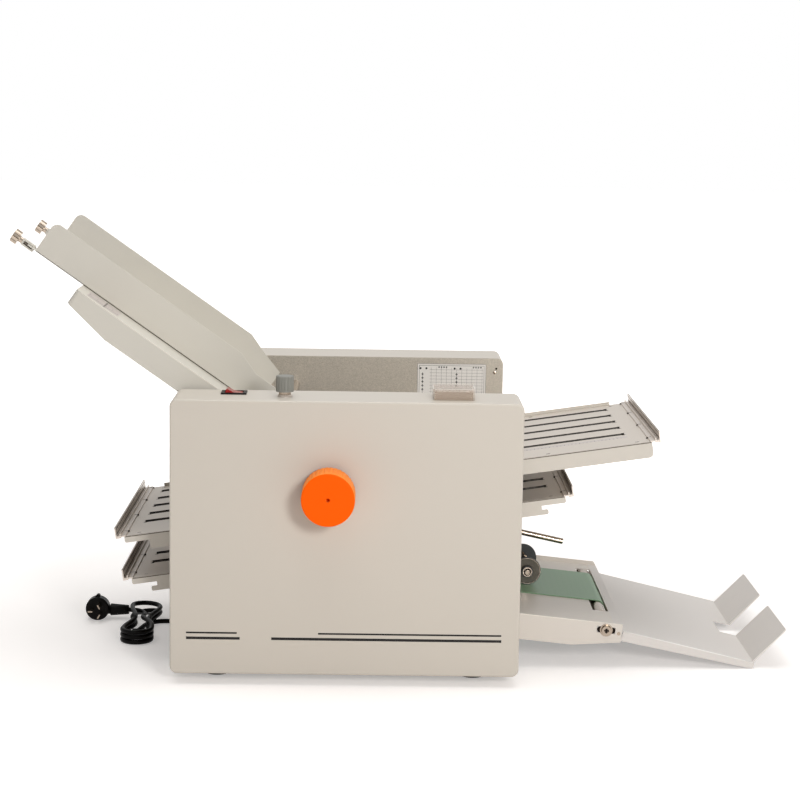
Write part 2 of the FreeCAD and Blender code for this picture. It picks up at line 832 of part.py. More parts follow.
def rubber_feet():
    """Makes four tapered feet under the two covers."""
    feet = []
    for x in ("foot_from_end", "cover_length - foot_from_end"):
        for y in ("foot_from_face", "machine_depth - foot_from_face"):
            foot = document.addObject("Part::Cone", "foot")
            bind(foot, Radius1="foot_radius - foot_taper", Radius2="foot_radius", Height="foot_height")
            feet.append(place(foot, "left + " + x, "front + " + y))
    group("rubber_feet", feet)


def bearing_plate(name, count):
    """Makes a plate on a frame's outer face, with a row of bores in which shafts run."""
    body = document.addObject("PartDesign::Body", name)
    plate = sketch_on(body, "XZ_Plane")
    add_box(plate, "-bearing_half", "-%d * roller_pitch - bearing_half" % (count - 1), "bearing_half",
            "bearing_half")
    for index in range(count):
        add_circle(plate, "0", "-%d * roller_pitch" % index, "shaft_radius + bush_play")
    pad(body, plate, "bearing_thickness", backwards=True)
    return body


def roller_bearings():
    """Makes the bearings on both frames: one long plate for the column, one for each other shaft."""
    plates = []
    for y in ("middle - frame_out - bearing_thickness", "middle + frame_out"):
        column = bearing_plate("column_bearing", len(ROLLERS))
        plates.append(place(column, "stack_x", y, "knob_height", turn="-plate_tilt"))
        for x, z in SINGLE_SHAFTS:
            plates.append(place(bearing_plate("shaft_bearing", 1), x, y, z))
    group("roller_bearings", plates)


# Rollers, gears and belt drives


def roller(letter, index):
    """Makes a folding roller with its shaft, gear and, where it drives a belt, its pulleys."""
    body = new_body("roller_" + letter)
    front_end = "shaft_front"
    if index == 0:
        front_end = "-(half_gap + cover_depth + knob_gap + knob_length / 2)"
    root = "gear_radius - tooth_depth"
    profile = [(front_end, "0"), (front_end, "shaft_radius"),
               ("-roller_half", "shaft_radius"), ("-roller_half", "roller_radius"),
               ("roller_half", "roller_radius"), ("roller_half", "shaft_radius"),
               ("gear_start", "shaft_radius"), ("gear_start", root), ("gear_end", root)]
    if letter == "b":
        profile += pulley_profile("gear_end", "belt_start", "belt_end", "feed_pulley")
    if letter == "f":
        profile += pulley_profile("gear_end", "belt_start", "belt_end", "main_pulley")
        profile += pulley_profile("belt_end", "outer_belt_start", "outer_belt_end", "delivery_pulley")
    profile += [(profile[-1][0], "0")]
    turned(body, "Y", profile)
    tooth = sketch_on(body, "XZ_Plane", "-gear_start")
    add_outline(tooth, [
        ("-tooth_root_half", root + " - 0.5"), ("tooth_root_half", root + " - 0.5"),
        ("tooth_root_half", root), ("tooth_tip_half", "gear_radius + tooth_height"),
        ("-tooth_tip_half", "gear_radius + tooth_height"), ("-tooth_root_half", root)])
    blade = pad(body, tooth, "gear_width", backwards=True)
    around(body, blade, "Y", "gear_teeth")
    x, z = roller_centre(index)
    turn = "-plate_tilt" if index % 2 == 0 else "180 / gear_teeth - plate_tilt"
    place(body, x, "middle", z, turn=turn)


def pulley_profile(before, start, end, radius):
    """Gives the profile points of a shaft from a shoulder to a flat pulley, and of the pulley."""
    return [(before, "shaft_radius"), (start, "shaft_radius"), (start, radius), (end, radius)]


def feed_roller():
    """Makes the feed shaft with its three rubber rings and its pulley."""
    body = new_body("feed_roller")
    profile = [("shaft_front", "0"), ("shaft_front", "shaft_radius"),
               ("-half_gap + 2", "shaft_radius"), ("-half_gap + 2", "feed_core")]
    for ring in (-1, 0, 1):
        low = "%d * feed_ring_pitch - feed_ring / 2" % ring
        high = "%d * feed_ring_pitch + feed_ring / 2" % ring
        profile += [(low, "feed_core"), (low, "feed_radius"), (high, "feed_radius"), (high, "feed_core")]
    profile += [("half_gap - 2", "feed_core")]
    profile += pulley_profile("half_gap - 2", "belt_start", "belt_end", "feed_pulley")
    profile += [("belt_end", "0")]
    turned(body, "Y", profile)
    place(body, "feed_x", "middle", "feed_z")


def tangent_loop(first, first_radius, second, second_radius):
    """Draws the closed line round two circles in the XZ plane, as two tangents and two arcs."""
    start = FreeCAD.Vector(*first)
    end = FreeCAD.Vector(*second)
    run = end.sub(start)
    distance = run.Length
    heading = math.atan2(run.z, run.x)
    lean = math.acos((first_radius - second_radius) / distance)

    def on_circle(centre, radius, angle):
        return centre.add(FreeCAD.Vector(radius * math.cos(angle), 0, radius * math.sin(angle)))

    upper = heading + lean
    lower = heading - lean
    a = on_circle(start, first_radius, upper)
    b = on_circle(start, first_radius, heading + math.pi)
    c = on_circle(start, first_radius, lower)
    d = on_circle(end, second_radius, lower)
    e = on_circle(end, second_radius, heading)
    f = on_circle(end, second_radius, upper)
    edges = [Part.Arc(a, b, c).toShape(), Part.LineSegment(c, d).toShape(),
             Part.Arc(d, e, f).toShape(), Part.LineSegment(f, a).toShape()]
    return Part.Wire(edges)


def belt_solid(first, first_radius, second, second_radius, play, thickness, low, high):
    """Makes an endless belt round two pulleys, between two places along Y."""
    inner = tangent_loop(first, first_radius + play, second, second_radius + play)
    outer = tangent_loop(first, first_radius + play + thickness, second,
                         second_radius + play + thickness)
    band = Part.Face(outer).cut(Part.Face(inner))
    band.translate(FreeCAD.Vector(0, low, 0))
    return band.extrude(FreeCAD.Vector(0, high - low, 0))


def centre_of(x, z):
    """Gives a point of the XZ plane from two formulas."""
    return (number(x), 0, number(z))


def drive_belts():
    """Makes the motor belt, the feed belt and the delivery belt drive in the rear cover."""
    play = number("belt_play")
    thickness = number("belt_thickness")
    middle = number("middle")
    low = middle + number("belt_start") + play
    high = middle + number("belt_end") - play
    outer_low = middle + number("outer_belt_start") + play
    outer_high = middle + number("outer_belt_end") - play
    motor = centre_of("left + motor_x", "motor_z")
    last = centre_of(*roller_centre(5))
    second = centre_of(*roller_centre(1))
    feed = centre_of("feed_x", "feed_z")
    drive = centre_of("drive_x", "drive_z")
    small = number("delivery_pulley")
    belts = [
        belt_solid(motor, number("motor_pulley"), last, number("main_pulley"), play, thickness, low, high),
        belt_solid(second, number("feed_pulley"), feed, number("feed_pulley"), play, thickness, low, high),
        belt_solid(last, small, drive, small, play, thickness, outer_low, outer_high)]
    feature = document.addObject("Part::Feature", "drive_belts")
    feature.Shape = Part.Compound(belts)
    node(feature, "drive_belts")


def hand_knob():
    """Makes the ribbed knob that turns the roller column by hand."""
    body = new_body("hand_knob")
    shaft = "shaft_radius"
    turned(body, "Y", [
        ("0", "knob_screw_radius"), ("0", "knob_radius - knob_edge"),
        ("knob_edge / 4", "knob_radius - knob_edge / 4"), ("knob_edge", "knob_radius"),
        ("knob_length - 2", "knob_radius"), ("knob_length - 2", "knob_hub"), ("knob_length", "knob_hub"),
        ("knob_length", shaft), ("knob_length / 2", shaft), ("knob_length / 2", "0"),
        ("knob_screw_depth", "0"), ("knob_screw_depth", "knob_screw_radius")])
    first = notch(body, "XZ_Plane", "-knob_rib_start", "knob_radius", "knob_rib_depth",
                  "knob_rib_half", "knob_length")
    around(body, first, "Y", "knob_ribs")
    place(body, "stack_x", "front - knob_reach", "knob_height")


def motor():
    """Makes the motor that hangs on the rear frame, with a bearing boss in the frame's hole."""
    body = new_body("motor")
    turned(body, "Y", [
        ("0", "0"), ("0", "motor_radius"), ("motor_length", "motor_radius"),
        ("motor_length", "motor_shaft + bush_play"),
        ("motor_length / 2", "motor_shaft + bush_play"), ("motor_length / 2", "0")])
    place(body, "left + motor_x", "middle + half_gap - motor_length", "motor_z")


def motor_pulley():
    """Makes the motor's shaft and pulley."""
    body = new_body("motor_pulley")
    start = "belt_start - half_gap"
    end = "belt_end - half_gap"
    turned(body, "Y", [
        ("-motor_length / 2 + 1", "0"), ("-motor_length / 2 + 1", "motor_shaft"),
        (start, "motor_shaft"), (start, "motor_pulley"), (end, "motor_pulley"), (end, "0")])
    place(body, "left + motor_x", "middle + half_gap", "motor_z")


# Buckle plates


def times(side, formula):
    """Mirrors a length to the left or right of the roller column."""
    return formula if side > 0 else "-(" + formula + ")"


def plate_channel(name, side, margin):
    """Makes a plate's upper sheet: five long slots, and a flange bent down along each edge."""
    body = document.addObject("PartDesign::Body", name + "_channel")
    length = name + "_length"
    low = "-plate_flange"
    outer = [("plate_mouth", "0"), (length, "0")]
    if name == "upper_right":
        outer += [(length, low)]
    elif name == "upper_left":
        outer += [(length, "-strip_depth"), (length + " - notch_inset", "-strip_depth"),
                  (length + " - notch_inset", low)]
    else:
        outer += [(length, "-strip_depth"), (length + " - notch_inset", "-strip_depth"),
                  (length + " - notch_inset", "-strip_depth - notch_height"),
                  (length + " - hook_inset", "-strip_depth - notch_height"),
                  (length + " - hook_inset", low)]
    outer += [("plate_mouth", low)]
    sketch = sketch_on(body, "XZ_Plane", "plate_half")
    add_outline(sketch, [(times(side, u), v) for u, v in outer])
    pad(body, sketch, "plate_width", backwards=True)
    inside = sketch_on(body, "XZ_Plane", "plate_half - plate_wall")
    add_box(inside, times(side, "plate_mouth - 1"), low + " - 1", times(side, length + " + 1"), "-plate_wall")
    body.Tip = pocket(body, inside, "plate_width - 2 * plate_wall")
    slot = sketch_on(body, "XY_Plane", "1")
    start = "slot_shift - slot_pitch * (slot_count - 1) / 2 - slot_width / 2"
    add_box(slot, times(side, "slot_start"), start, times(side, length + " - " + margin),
            start + " + slot_width")
    first = pocket(body, slot, "plate_wall + 2")
    along(body, first, "Y", "slot_pitch * (slot_count - 1)", "slot_count")
    radius = "plate_corner" if name == "upper_right" else "2"
    round_edges(body, radius, lambda middle, edge: runs_along(edge, (0, 1, 0))
                and middle.z < number("-strip_depth") + 0.01
                and abs(middle.x) > number(length + " - notch_inset") + 0.01)
    return body


def plate_sheet(name, side):
    """Makes a plate's lower sheet, with a raised strip along each edge that keeps the slit open."""
    body = document.addObject("PartDesign::Body", name + "_lower_sheet")
    sketch = sketch_on(body, "YZ_Plane", times(side, "plate_mouth"))
    half = "(plate_half - plate_wall)"
    strip = half + " - 14"
    top = "-plate_wall"
    floor = "-plate_wall - plate_slit"
    add_outline(sketch, [
        ("-" + half, "-plate_total"), (half, "-plate_total"), (half, top), (strip, top),
        (strip, floor), ("-(" + strip + ")", floor), ("-(" + strip + ")", top), ("-" + half, top)])
    pad(body, sketch, name + "_length - plate_mouth - 2", backwards=side < 0)
    return body


def buckle_plate(name, side, nip, margin):
    """Places a plate, its end bar and its paper stop at the plate's nip."""
    rise = plate_rise(side)
    x, z = nip_place(nip, "0", rise)
    pieces = [plate_channel(name, side, margin), plate_sheet(name, side)]
    for piece in pieces:
        place(piece, x, "middle", z, turn="-plate_tilt")
    group(name + "_plate", pieces)
    bar = new_body(name + "_end_bar")
    end = name + "_length"
    profile = sketch_on(bar, "XZ_Plane", "bar_length / 2")
    points = [
        (end + " - bar_lap", "0"), (end + " + bar_reach - bar_wall - 5", "0"),
        (end + " + bar_reach - bar_wall - 5", "-bar_wall"), (end + " + bar_reach", "-bar_wall"),
        (end + " + bar_reach", "bar_height"), (end + " + bar_reach - bar_wall", "bar_height"),
        (end + " + bar_reach - bar_wall", "bar_wall"),
        (end + " + bar_reach - bar_wall - 4", "bar_wall"),
        (end + " + bar_reach - bar_wall - 4", "bar_wall + 3"),
        (end + " + bar_reach - bar_wall - 5.2", "bar_wall + 3"),
        (end + " + bar_reach - bar_wall - 5.2", "bar_wall"), (end + " - bar_lap", "bar_wall")]
    add_outline(profile, [(times(side, u), v) for u, v in points])
    pad(bar, profile, "bar_length", backwards=True)
    place(bar, x, "middle", z, turn="-plate_tilt")
    stop = new_body(name + "_stop")
    paper_stop(stop, name, side)
    place(stop, x, "middle", z, turn="-plate_tilt")


def paper_stop(stop, name, side):
    """Makes the bar that rides on a plate, with a finger in each slot and two hexagonal nuts."""
    centre = times(side, name + "_stop")
    rail = sketch_on(stop, "XY_Plane", "stop_play")
    add_box(rail, centre + " - stop_width / 2", "stop_width - plate_half",
            centre + " + stop_width / 2", "plate_half - stop_width")
    pad(stop, rail, "stop_height")
    finger = sketch_on(stop, "XY_Plane", "stop_play - plate_total + plate_wall")
    start = "slot_shift - slot_pitch * (slot_count - 1) / 2 - stop_finger / 2"
    add_box(finger, centre + " - stop_width / 2", start, centre + " + stop_width / 2",
            start + " + stop_finger")
    first = pad(stop, finger, "plate_total - plate_wall + 1")
    along(stop, first, "Y", "slot_pitch * (slot_count - 1)", "slot_count")
    nuts = sketch_on(stop, "XY_Plane", "stop_play + stop_height")
    for y in ("-plate_half / 2", "plate_half / 2"):
        add_outline(nuts, [
            ("%s + stop_thumb_radius * cos(%d)" % (centre, angle),
             "%s + stop_thumb_radius * sin(%d)" % (y, angle)) for angle in range(0, 360, 60)])
    stop.Tip = pad(stop, nuts, "stop_thumb_height")


# Feed table, guides and separator


def feed_table():
    """Makes the sloping table: a sheet with a skirt round three sides, open at its lower end."""
    body = new_body("feed_table")
    sketch = sketch_on(body, "XZ_Plane", "table_half")
    add_outline(sketch, [("0", "0"), ("table_length", "0"), ("table_length", "-skirt_depth"),
                         ("skirt_chamfer", "-skirt_depth"), ("0", "-skirt_start")])
    pad(body, sketch, "table_width", backwards=True)
    round_edges(body, "table_corner", lambda middle, edge: near(middle.x, "0")
                and runs_along(edge, (0, 0, 1)))
    inside = sketch_on(body, "XZ_Plane", "table_half - table_wall")
    add_box(inside, "table_wall", "-skirt_depth - 1", "table_length + 1", "-table_wall")
    body.Tip = pocket(body, inside, "table_width - 2 * table_wall")
    place(body, "table_x", "middle", "table_top", turn="table_tilt")


def side_guide(name, side):
    """Makes a paper guide: tall wall, foot on the table, block for its screw, block on the bar."""
    body = new_body(name)
    face = times(side, "guide_spread / 2")
    inner = times(side, "guide_spread / 2 - guide_foot")
    lift = "guide_lift"
    end_height = "guide_low_height" if side < 0 else "guide_end_height"
    wall = sketch_on(body, "XZ_Plane", times(-side, "guide_spread / 2"))
    add_outline(wall, [
        ("-guide_overhang", lift), ("guide_end", lift), ("guide_end", end_height),
        ("guide_step", "guide_low_height"), ("guide_crest", "guide_height"),
        ("-guide_overhang", "guide_height")])
    pad(body, wall, "guide_wall", backwards=side < 0)
    ear_start = "-guide_overhang - ear_reach"
    foot = sketch_on(body, "XY_Plane", lift)
    add_box(foot, ear_start + " + ear_length / 2", face, "guide_bar_along + guide_block_half", inner)
    pad(body, foot, "guide_wall")
    screw = times(side, "guide_spread / 2 - guide_foot / 2")
    ear = sketch_on(body, "YZ_Plane", ear_start)
    add_box(ear, screw + " - ear_half", "-ear_half", screw + " + ear_half", "ear_half")
    pad(body, ear, "ear_length")
    bore = sketch_on(body, "YZ_Plane", ear_start)
    add_circle(bore, screw, "0", "guide_screw_radius + guide_screw_play")
    pocket(body, bore, "ear_length", backwards=True)
    groove = sketch_on(body, "XZ_Plane", "ear_half - (" + screw + ")")
    groove_start = ear_start + " + (ear_length - ear_groove_length) / 2"
    add_box(groove, groove_start, "-ear_groove_half", groove_start + " + ear_groove_length",
            "ear_groove_half")
    pocket(body, groove, "ear_groove_depth")
    block = sketch_on(body, "XZ_Plane", times(-side, "guide_spread / 2"))
    add_box(block, "guide_bar_along - guide_block_half", "-guide_bar_drop - guide_block_half",
            "guide_bar_along + guide_block_half", lift)
    add_circle(block, "guide_bar_along", "-guide_bar_drop", "guide_bar_radius + bush_play")
    pad(body, block, "guide_foot", backwards=side < 0)
    document.recompute()
    body.Tip = body.Group[-1]
    round_edges(body, "guide_corner", lambda middle, edge: near(middle.x, "-guide_overhang")
                and near(middle.z, "guide_height"))
    place(body, "table_x", "middle", "table_top", turn="table_tilt")


def guide_screw(name, side):
    """Makes a guide's knurled thumbscrew, in the block at the guide's upper end."""
    body = new_body(name)
    head = "-guide_screw_neck"
    end = head + " - guide_screw_head_length"
    turned(body, "X", [
        ("ear_length - guide_screw_gap", "0"), ("ear_length - guide_screw_gap", "guide_screw_radius"),
        ("-guide_screw_gap", "guide_screw_radius"), ("-guide_screw_gap", "guide_screw_neck_radius"),
        (head, "guide_screw_neck_radius"), (head, "guide_screw_head"), (end, "guide_screw_head"),
        (end, "0")])
    first = notch(body, "YZ_Plane", end + " - 1", "guide_screw_head", "guide_knurl_depth",
                  "guide_knurl_half", "guide_screw_head_length + 1.5", backwards=True)
    around(body, first, "X", "guide_screw_knurls")
    x, z = sloping_place("table_x", "table_top", "table_tilt", "-guide_overhang - ear_reach", "0")
    place(body, x, "middle + " + times(side, "guide_spread / 2 - guide_foot / 2"), z, turn="table_tilt")


def guide_bar():
    """Makes the cross bar that both side guides slide on."""
    x, z = sloping_place("table_x", "table_top", "table_tilt", "guide_bar_along", "guide_bar_drop")
    node(cylinder("guide_bar", "guide_bar_radius", "frame_gap", x, "middle - half_gap", z), "guide_bar")


def entry_guide():
    """Makes the bent sheet that leads the paper from the feed roller down into the first nip."""
    body = new_body("entry_guide")
    sketch = sketch_on(body, "XZ_Plane", "half_gap")
    wall = "separator_wall"
    start = ("feed_x - stack_x + feed_radius + 4", "feed_z - knob_height - 6")
    bend = ("feed_x - stack_x + feed_radius + 22", "feed_z - knob_height - 24")
    end = ("-roller_radius + 1", "-roller_pitch / 2 - 4")
    add_outline(sketch, [
        start, bend, end, (end[0] + " - " + wall, end[1] + " - 1"),
        (bend[0] + " - " + wall, bend[1] + " - 2"), (start[0] + " - " + wall, start[1] + " - 2")])
    pad(body, sketch, "frame_gap", backwards=True)
    place(body, "stack_x", "middle", "knob_height")


def separator():
    """Makes the bracket that hangs from a tie rod and the rubber pad it holds over the feed roller."""
    bracket = new_body("separator_bracket")
    sketch = sketch_on(bracket, "XZ_Plane", "pad_width / 2")
    low = "feed_radius + pad_gap + pad_thickness"
    reach = "rod_radius + 4"
    add_outline(sketch, [
        ("-pad_length / 2", low), ("pad_length / 2", low), ("pad_length / 2", low + " + separator_wall"),
        (reach, "separator_rise"), (reach, "separator_rise + " + reach),
        ("-(" + reach + ")", "separator_rise + " + reach), ("-(" + reach + ")", "separator_rise"),
        ("-pad_length / 2", low + " + separator_wall")])
    add_circle(sketch, "0", "separator_rise", "rod_radius")
    pad(bracket, sketch, "pad_width", backwards=True)
    place(bracket, "feed_x", "middle", "feed_z", turn="table_tilt")
    rubber = new_body("separator_pad")
    sketch = sketch_on(rubber, "XZ_Plane", "pad_width / 2")
    add_box(sketch, "-pad_length / 2", "feed_radius + pad_gap", "pad_length / 2", low)
    pad(rubber, sketch, "pad_width", backwards=True)
    place(rubber, "feed_x", "middle", "feed_z", turn="table_tilt")


# Delivery


def delivery_table():
    """Makes the belt table: a folded sheet with two side plates, a roller window and axle slots."""
    body = new_body("delivery_table")
    sketch = sketch_on(body, "XZ_Plane", "delivery_half")
    add_outline(sketch, [
        ("delivery_start", "0"), ("delivery_length", "0"), ("delivery_length", "-delivery_end_depth"),
        ("delivery_taper", "-delivery_depth"), ("delivery_start", "-delivery_depth")])
    pad(body, sketch, "delivery_width", backwards=True)
    inside = sketch_on(body, "XZ_Plane", "delivery_half - delivery_wall")
    add_box(inside, "delivery_start - 1", "-delivery_depth - 1", "delivery_length + 1",
            "-delivery_wall")
    pocket(body, inside, "delivery_width - 2 * delivery_wall")
    window = sketch_on(body, "XY_Plane", "1")
    add_box(window, "idler_along - window_before", "idler_shift - idler_length / 2 - window_overrun",
            "idler_along + window_after", "idler_shift + idler_length / 2 + window_overrun")
    pocket(body, window, "delivery_wall + 2")
    slots = sketch_on(body, "XZ_Plane", "delivery_half + 1")
    add_box(slots, "idler_along - axle_slot_half", "-belt_roller_radius - axle_radius",
            "idler_along + axle_slot_half", "-belt_roller_radius + axle_radius")
    add_circle(slots, "hook_rod_along", "-hook_rod_drop", "hook_rod_radius")
    pocket(body, slots, "delivery_width + 2")
    rail = sketch_on(body, "XZ_Plane", "delivery_wall - delivery_half")
    add_outline(rail, [
        ("delivery_start", "-1"), ("delivery_length", "-1"), ("delivery_length", "0"),
        ("delivery_length - 4", "delivery_rail"), ("delivery_start", "delivery_rail")])
    body.Tip = pad(body, rail, "delivery_wall", backwards=True)
    place(body, "left + drive_from_left", "middle", "delivery_top", turn="delivery_tilt")


def delivery_belt():
    """Makes the wide flat belt that carries the folded sheets out."""
    radius = number("belt_roller_radius")
    low = number("web_shift - web_width / 2")
    solid = belt_solid((0, 0, -radius), radius, (number("idler_along"), 0, -radius), radius,
                       number("belt_play"), number("web_thickness"), low, low + number("web_width"))
    feature = document.addObject("Part::Feature", "delivery_belt")
    feature.Shape = solid
    node(feature, "delivery_belt")
    place(feature, "left + drive_from_left", "middle", "delivery_top", turn="delivery_tilt")


def belt_rollers():
    """Makes the driven roller, the idler roller and the two cross axles of the belt table."""
    drive = new_body("belt_drive_roller")
    low = "web_shift - web_width / 2 - 5"
    high = "web_shift + web_width / 2 + 5"
    profile = [("shaft_front", "0"), ("shaft_front", "shaft_radius"), (low, "shaft_radius"),
               (low, "belt_roller_radius"), (high, "belt_roller_radius")]
    profile += pulley_profile(high, "outer_belt_start", "outer_belt_end", "delivery_pulley")
    profile += [("outer_belt_end", "0")]
    turned(drive, "Y", profile)
    place(drive, "drive_x", "middle", "drive_z")
    idler = new_body("belt_idler_roller")
    half = "idler_length / 2"
    bore = "axle_radius + bush_play"
    turned(idler, "Y", [
        ("-" + half, bore), ("-" + half, "belt_roller_radius - 1"),
        ("1 - " + half, "belt_roller_radius"), (half + " - 1", "belt_roller_radius"),
        (half, "belt_roller_radius - 1"), (half, bore)])
    x, z = sloping_place("left + drive_from_left", "delivery_top", "delivery_tilt", "idler_along",
                         "belt_roller_radius")
    place(idler, x, "middle + idler_shift", z)
    axle = document.addObject("PartDesign::Body", "idler_axle")
    head = "delivery_half + axle_head_length"
    turned(axle, "Y", [
        ("-" + "(" + head + ")", "0"), ("-(" + head + ")", "axle_head_radius"),
        ("-delivery_half", "axle_head_radius"), ("-delivery_half", "axle_radius"),
        ("delivery_half", "axle_radius"), ("delivery_half", "axle_head_radius"),
        (head, "axle_head_radius"), (head, "0")])
    socket = sketch_on(axle, "XZ_Plane", head)
    add_circle(socket, "0", "0", "axle_head_radius / 2")
    axle.Tip = pocket(axle, socket, "axle_head_length - 2")
    place(axle, x, "middle", z)
    rod = cylinder("hook_rod", "hook_rod_radius", "delivery_width", "left + hook_x",
                   "middle - delivery_half", "hook_z")
    group("belt_table_axles", [axle, rod])


def press_rod():
    """Makes the sloping rod over the belt, with the block that hangs it from a tie rod."""
    body = new_body("press_rod")
    turned(body, "X", [("-press_rod_length", "0"), ("-press_rod_length", "press_rod_radius"),
                       ("-0.5", "press_rod_radius"), ("0", "press_rod_radius - 0.5"), ("0", "0")])
    seat = sketch_on(body, "XZ_Plane", "press_rod_seat")
    add_box(seat, "-press_rod_length", "0", "-press_rod_length + 2 * press_rod_seat",
            "press_seat_height")
    pad(body, seat, "2 * press_rod_seat", backwards=True)
    bore = sketch_on(body, "XZ_Plane", "press_rod_seat + 1")
    run = "(%s - press_rod_end)" % CARRIER_ROD[0]
    rise = "(%s - press_rod_end_height)" % CARRIER_ROD[1]
    add_circle(bore, run + " * cos(press_rod_tilt) - " + rise + " * sin(press_rod_tilt)",
               run + " * sin(press_rod_tilt) + " + rise + " * cos(press_rod_tilt)", "rod_radius")
    body.Tip = pocket(body, bore, "2 * press_rod_seat + 2")
    place(body, "press_x", "wheel_y", "press_rod_end_height", turn="press_rod_tilt")


def press_carriage():
    """Makes the block that slides on the rod, with the pivot pins of the press arm."""
    body = new_body("press_carriage")
    block = sketch_on(body, "XZ_Plane", "carriage_half")
    add_box(block, "-carriage_half", "-pivot_drop - carriage_half / 2", "carriage_half", "carriage_half")
    pad(body, block, "2 * carriage_half", backwards=True)
    bore = sketch_on(body, "YZ_Plane", "carriage_half + 1")
    add_circle(bore, "0", "0", "press_rod_radius + carriage_play")
    pocket(body, bore, "2 * carriage_half + 2")
    pins = sketch_on(body, "XZ_Plane", "carriage_half + arm_gap + arm_wall + 1")
    add_circle(pins, "0", "-pivot_drop", "pivot_radius")
    body.Tip = pad(body, pins, "2 * (carriage_half + arm_gap + arm_wall + 1)", backwards=True)
    place(body, "carriage_x", "wheel_y", "carriage_z", turn="press_rod_tilt")


def press_arm():
    """Makes the forked arm: two cheeks beside the carriage, joined by a tube round the axle."""
    length = number("arm_length")
    end = number("arm_end_radius")
    wall = number("arm_wall")
    inside = number("carriage_half + arm_gap")
    outline = Part.Face(tangent_loop((0, 0, 0), end, (length, 0, 0), end))
    cheeks = []
    for y in (-inside - wall, inside):
        cheek = outline.copy()
        cheek.translate(FreeCAD.Vector(0, y, 0))
        cheeks.append(cheek.extrude(FreeCAD.Vector(0, wall, 0)))
    tube = Part.makeCylinder(end, 2 * inside, FreeCAD.Vector(length, -inside, 0), FreeCAD.Vector(0, 1, 0))
    width = inside + 2 * wall
    pivot = Part.makeCylinder(number("pivot_radius + carriage_play"), 2 * width,
                              FreeCAD.Vector(0, -width, 0), FreeCAD.Vector(0, 1, 0))
    axle = Part.makeCylinder(number("wheel_axle_radius + carriage_play"), 2 * width,
                             FreeCAD.Vector(length, -width, 0), FreeCAD.Vector(0, 1, 0))
    feature = document.addObject("Part::Feature", "press_arm")
    feature.Shape = tube.fuse(cheeks).removeSplitter().cut([pivot, axle])
    node(feature, "press_arm")
    place(feature, "pivot_x", "wheel_y", "pivot_z", turn="arm_turn")


def press_wheels():
    """Makes the axle with its two press wheels and their hubs."""
    body = new_body("press_wheels")
    profile = [("-wheel_pitch / 2 - wheel_hub_width", "0"),
               ("-wheel_pitch / 2 - wheel_hub_width", "wheel_hub_radius")]
    for side in (-1, 1):
        centre = "%d * wheel_pitch / 2" % side
        low = centre + " - wheel_width / 2"
        high = centre + " + wheel_width / 2"
        if side > 0:
            profile += [(centre + " - wheel_hub_width", "wheel_axle_radius"),
                        (centre + " - wheel_hub_width", "wheel_hub_radius")]
        profile += [(low, "wheel_hub_radius"), (low, "wheel_radius"), (high, "wheel_radius"),
                    (high, "wheel_hub_radius")]
        if side < 0:
            profile += [(centre + " + wheel_hub_width", "wheel_hub_radius"),
                        (centre + " + wheel_hub_width", "wheel_axle_radius")]
    profile += [("wheel_pitch / 2 + wheel_hub_width", "wheel_hub_radius"),
                ("wheel_pitch / 2 + wheel_hub_width", "0")]
    turned(body, "Y", profile)
    place(body, "wheel_x", "wheel_y", "wheel_z")


def delivery_tray():
    """Makes the sheet tray: hooked over a cross rod, with two turned-up stop tabs at its end."""
    body = new_body("delivery_tray")
    start = "-(hook_rod_radius + tray_play + tray_wall)"
    crest = "tray_crest"
    under = "tray_crest - tray_wall"
    sheet_sketch = sketch_on(body, "XZ_Plane", "tray_half")
    add_outline(sheet_sketch, [
        (start, crest), ("tray_length", crest), ("tray_length", crest + " - tray_end_flange"),
        ("tray_flange_start", crest + " - tray_flange"), ("tray_flange_start", under),
        (start + " + tray_wall", under), (start + " + tray_wall", crest + " - tray_hook_depth"),
        (start, crest + " - tray_hook_depth")])
    pad(body, sheet_sketch, "tray_width", backwards=True)
    inside = sketch_on(body, "XZ_Plane", "tray_half - tray_wall")
    add_box(inside, "tray_flange_start - 1", crest + " - tray_flange - 1", "tray_length + 1", under)
    pocket(body, inside, "tray_width - 2 * tray_wall")
    tab = sketch_on(body, "XZ_Plane", "tray_half - tab_inset")
    tip_x = "tray_length + tab_length * cos(tab_turn)"
    tip_z = crest + " + tab_length * sin(tab_turn)"
    add_outline(tab, [
        ("tray_length - tray_wall", under), ("tray_length - tray_wall", crest), (tip_x, tip_z),
        (tip_x + " + tray_wall * sin(tab_turn)", tip_z + " - tray_wall * cos(tab_turn)"),
        ("tray_length + tray_wall * sin(tab_turn)", crest + " - tray_wall * cos(tab_turn)"),
        ("tray_length", under)])
    pad(body, tab, "tray_width - 2 * tab_inset", backwards=True)
    gap = sketch_on(body, "XY_Plane", "tray_crest + tab_length + 1")
    add_box(gap, "tray_length - tab_gap_depth", "-tab_gap / 2", "tray_length + tab_length + 2", "tab_gap / 2")
    body.Tip = pocket(body, gap, "tab_length + tray_crest + 20")
    round_edges(body, "tab_corner", lambda middle, edge: not runs_along(edge, (0, 1, 0))
                and near(middle.z, tip_z + " - tray_wall * cos(tab_turn) / 2"))
    place(body, "left + hook_x", "middle", "hook_z", turn="tray_tilt")


# Controls


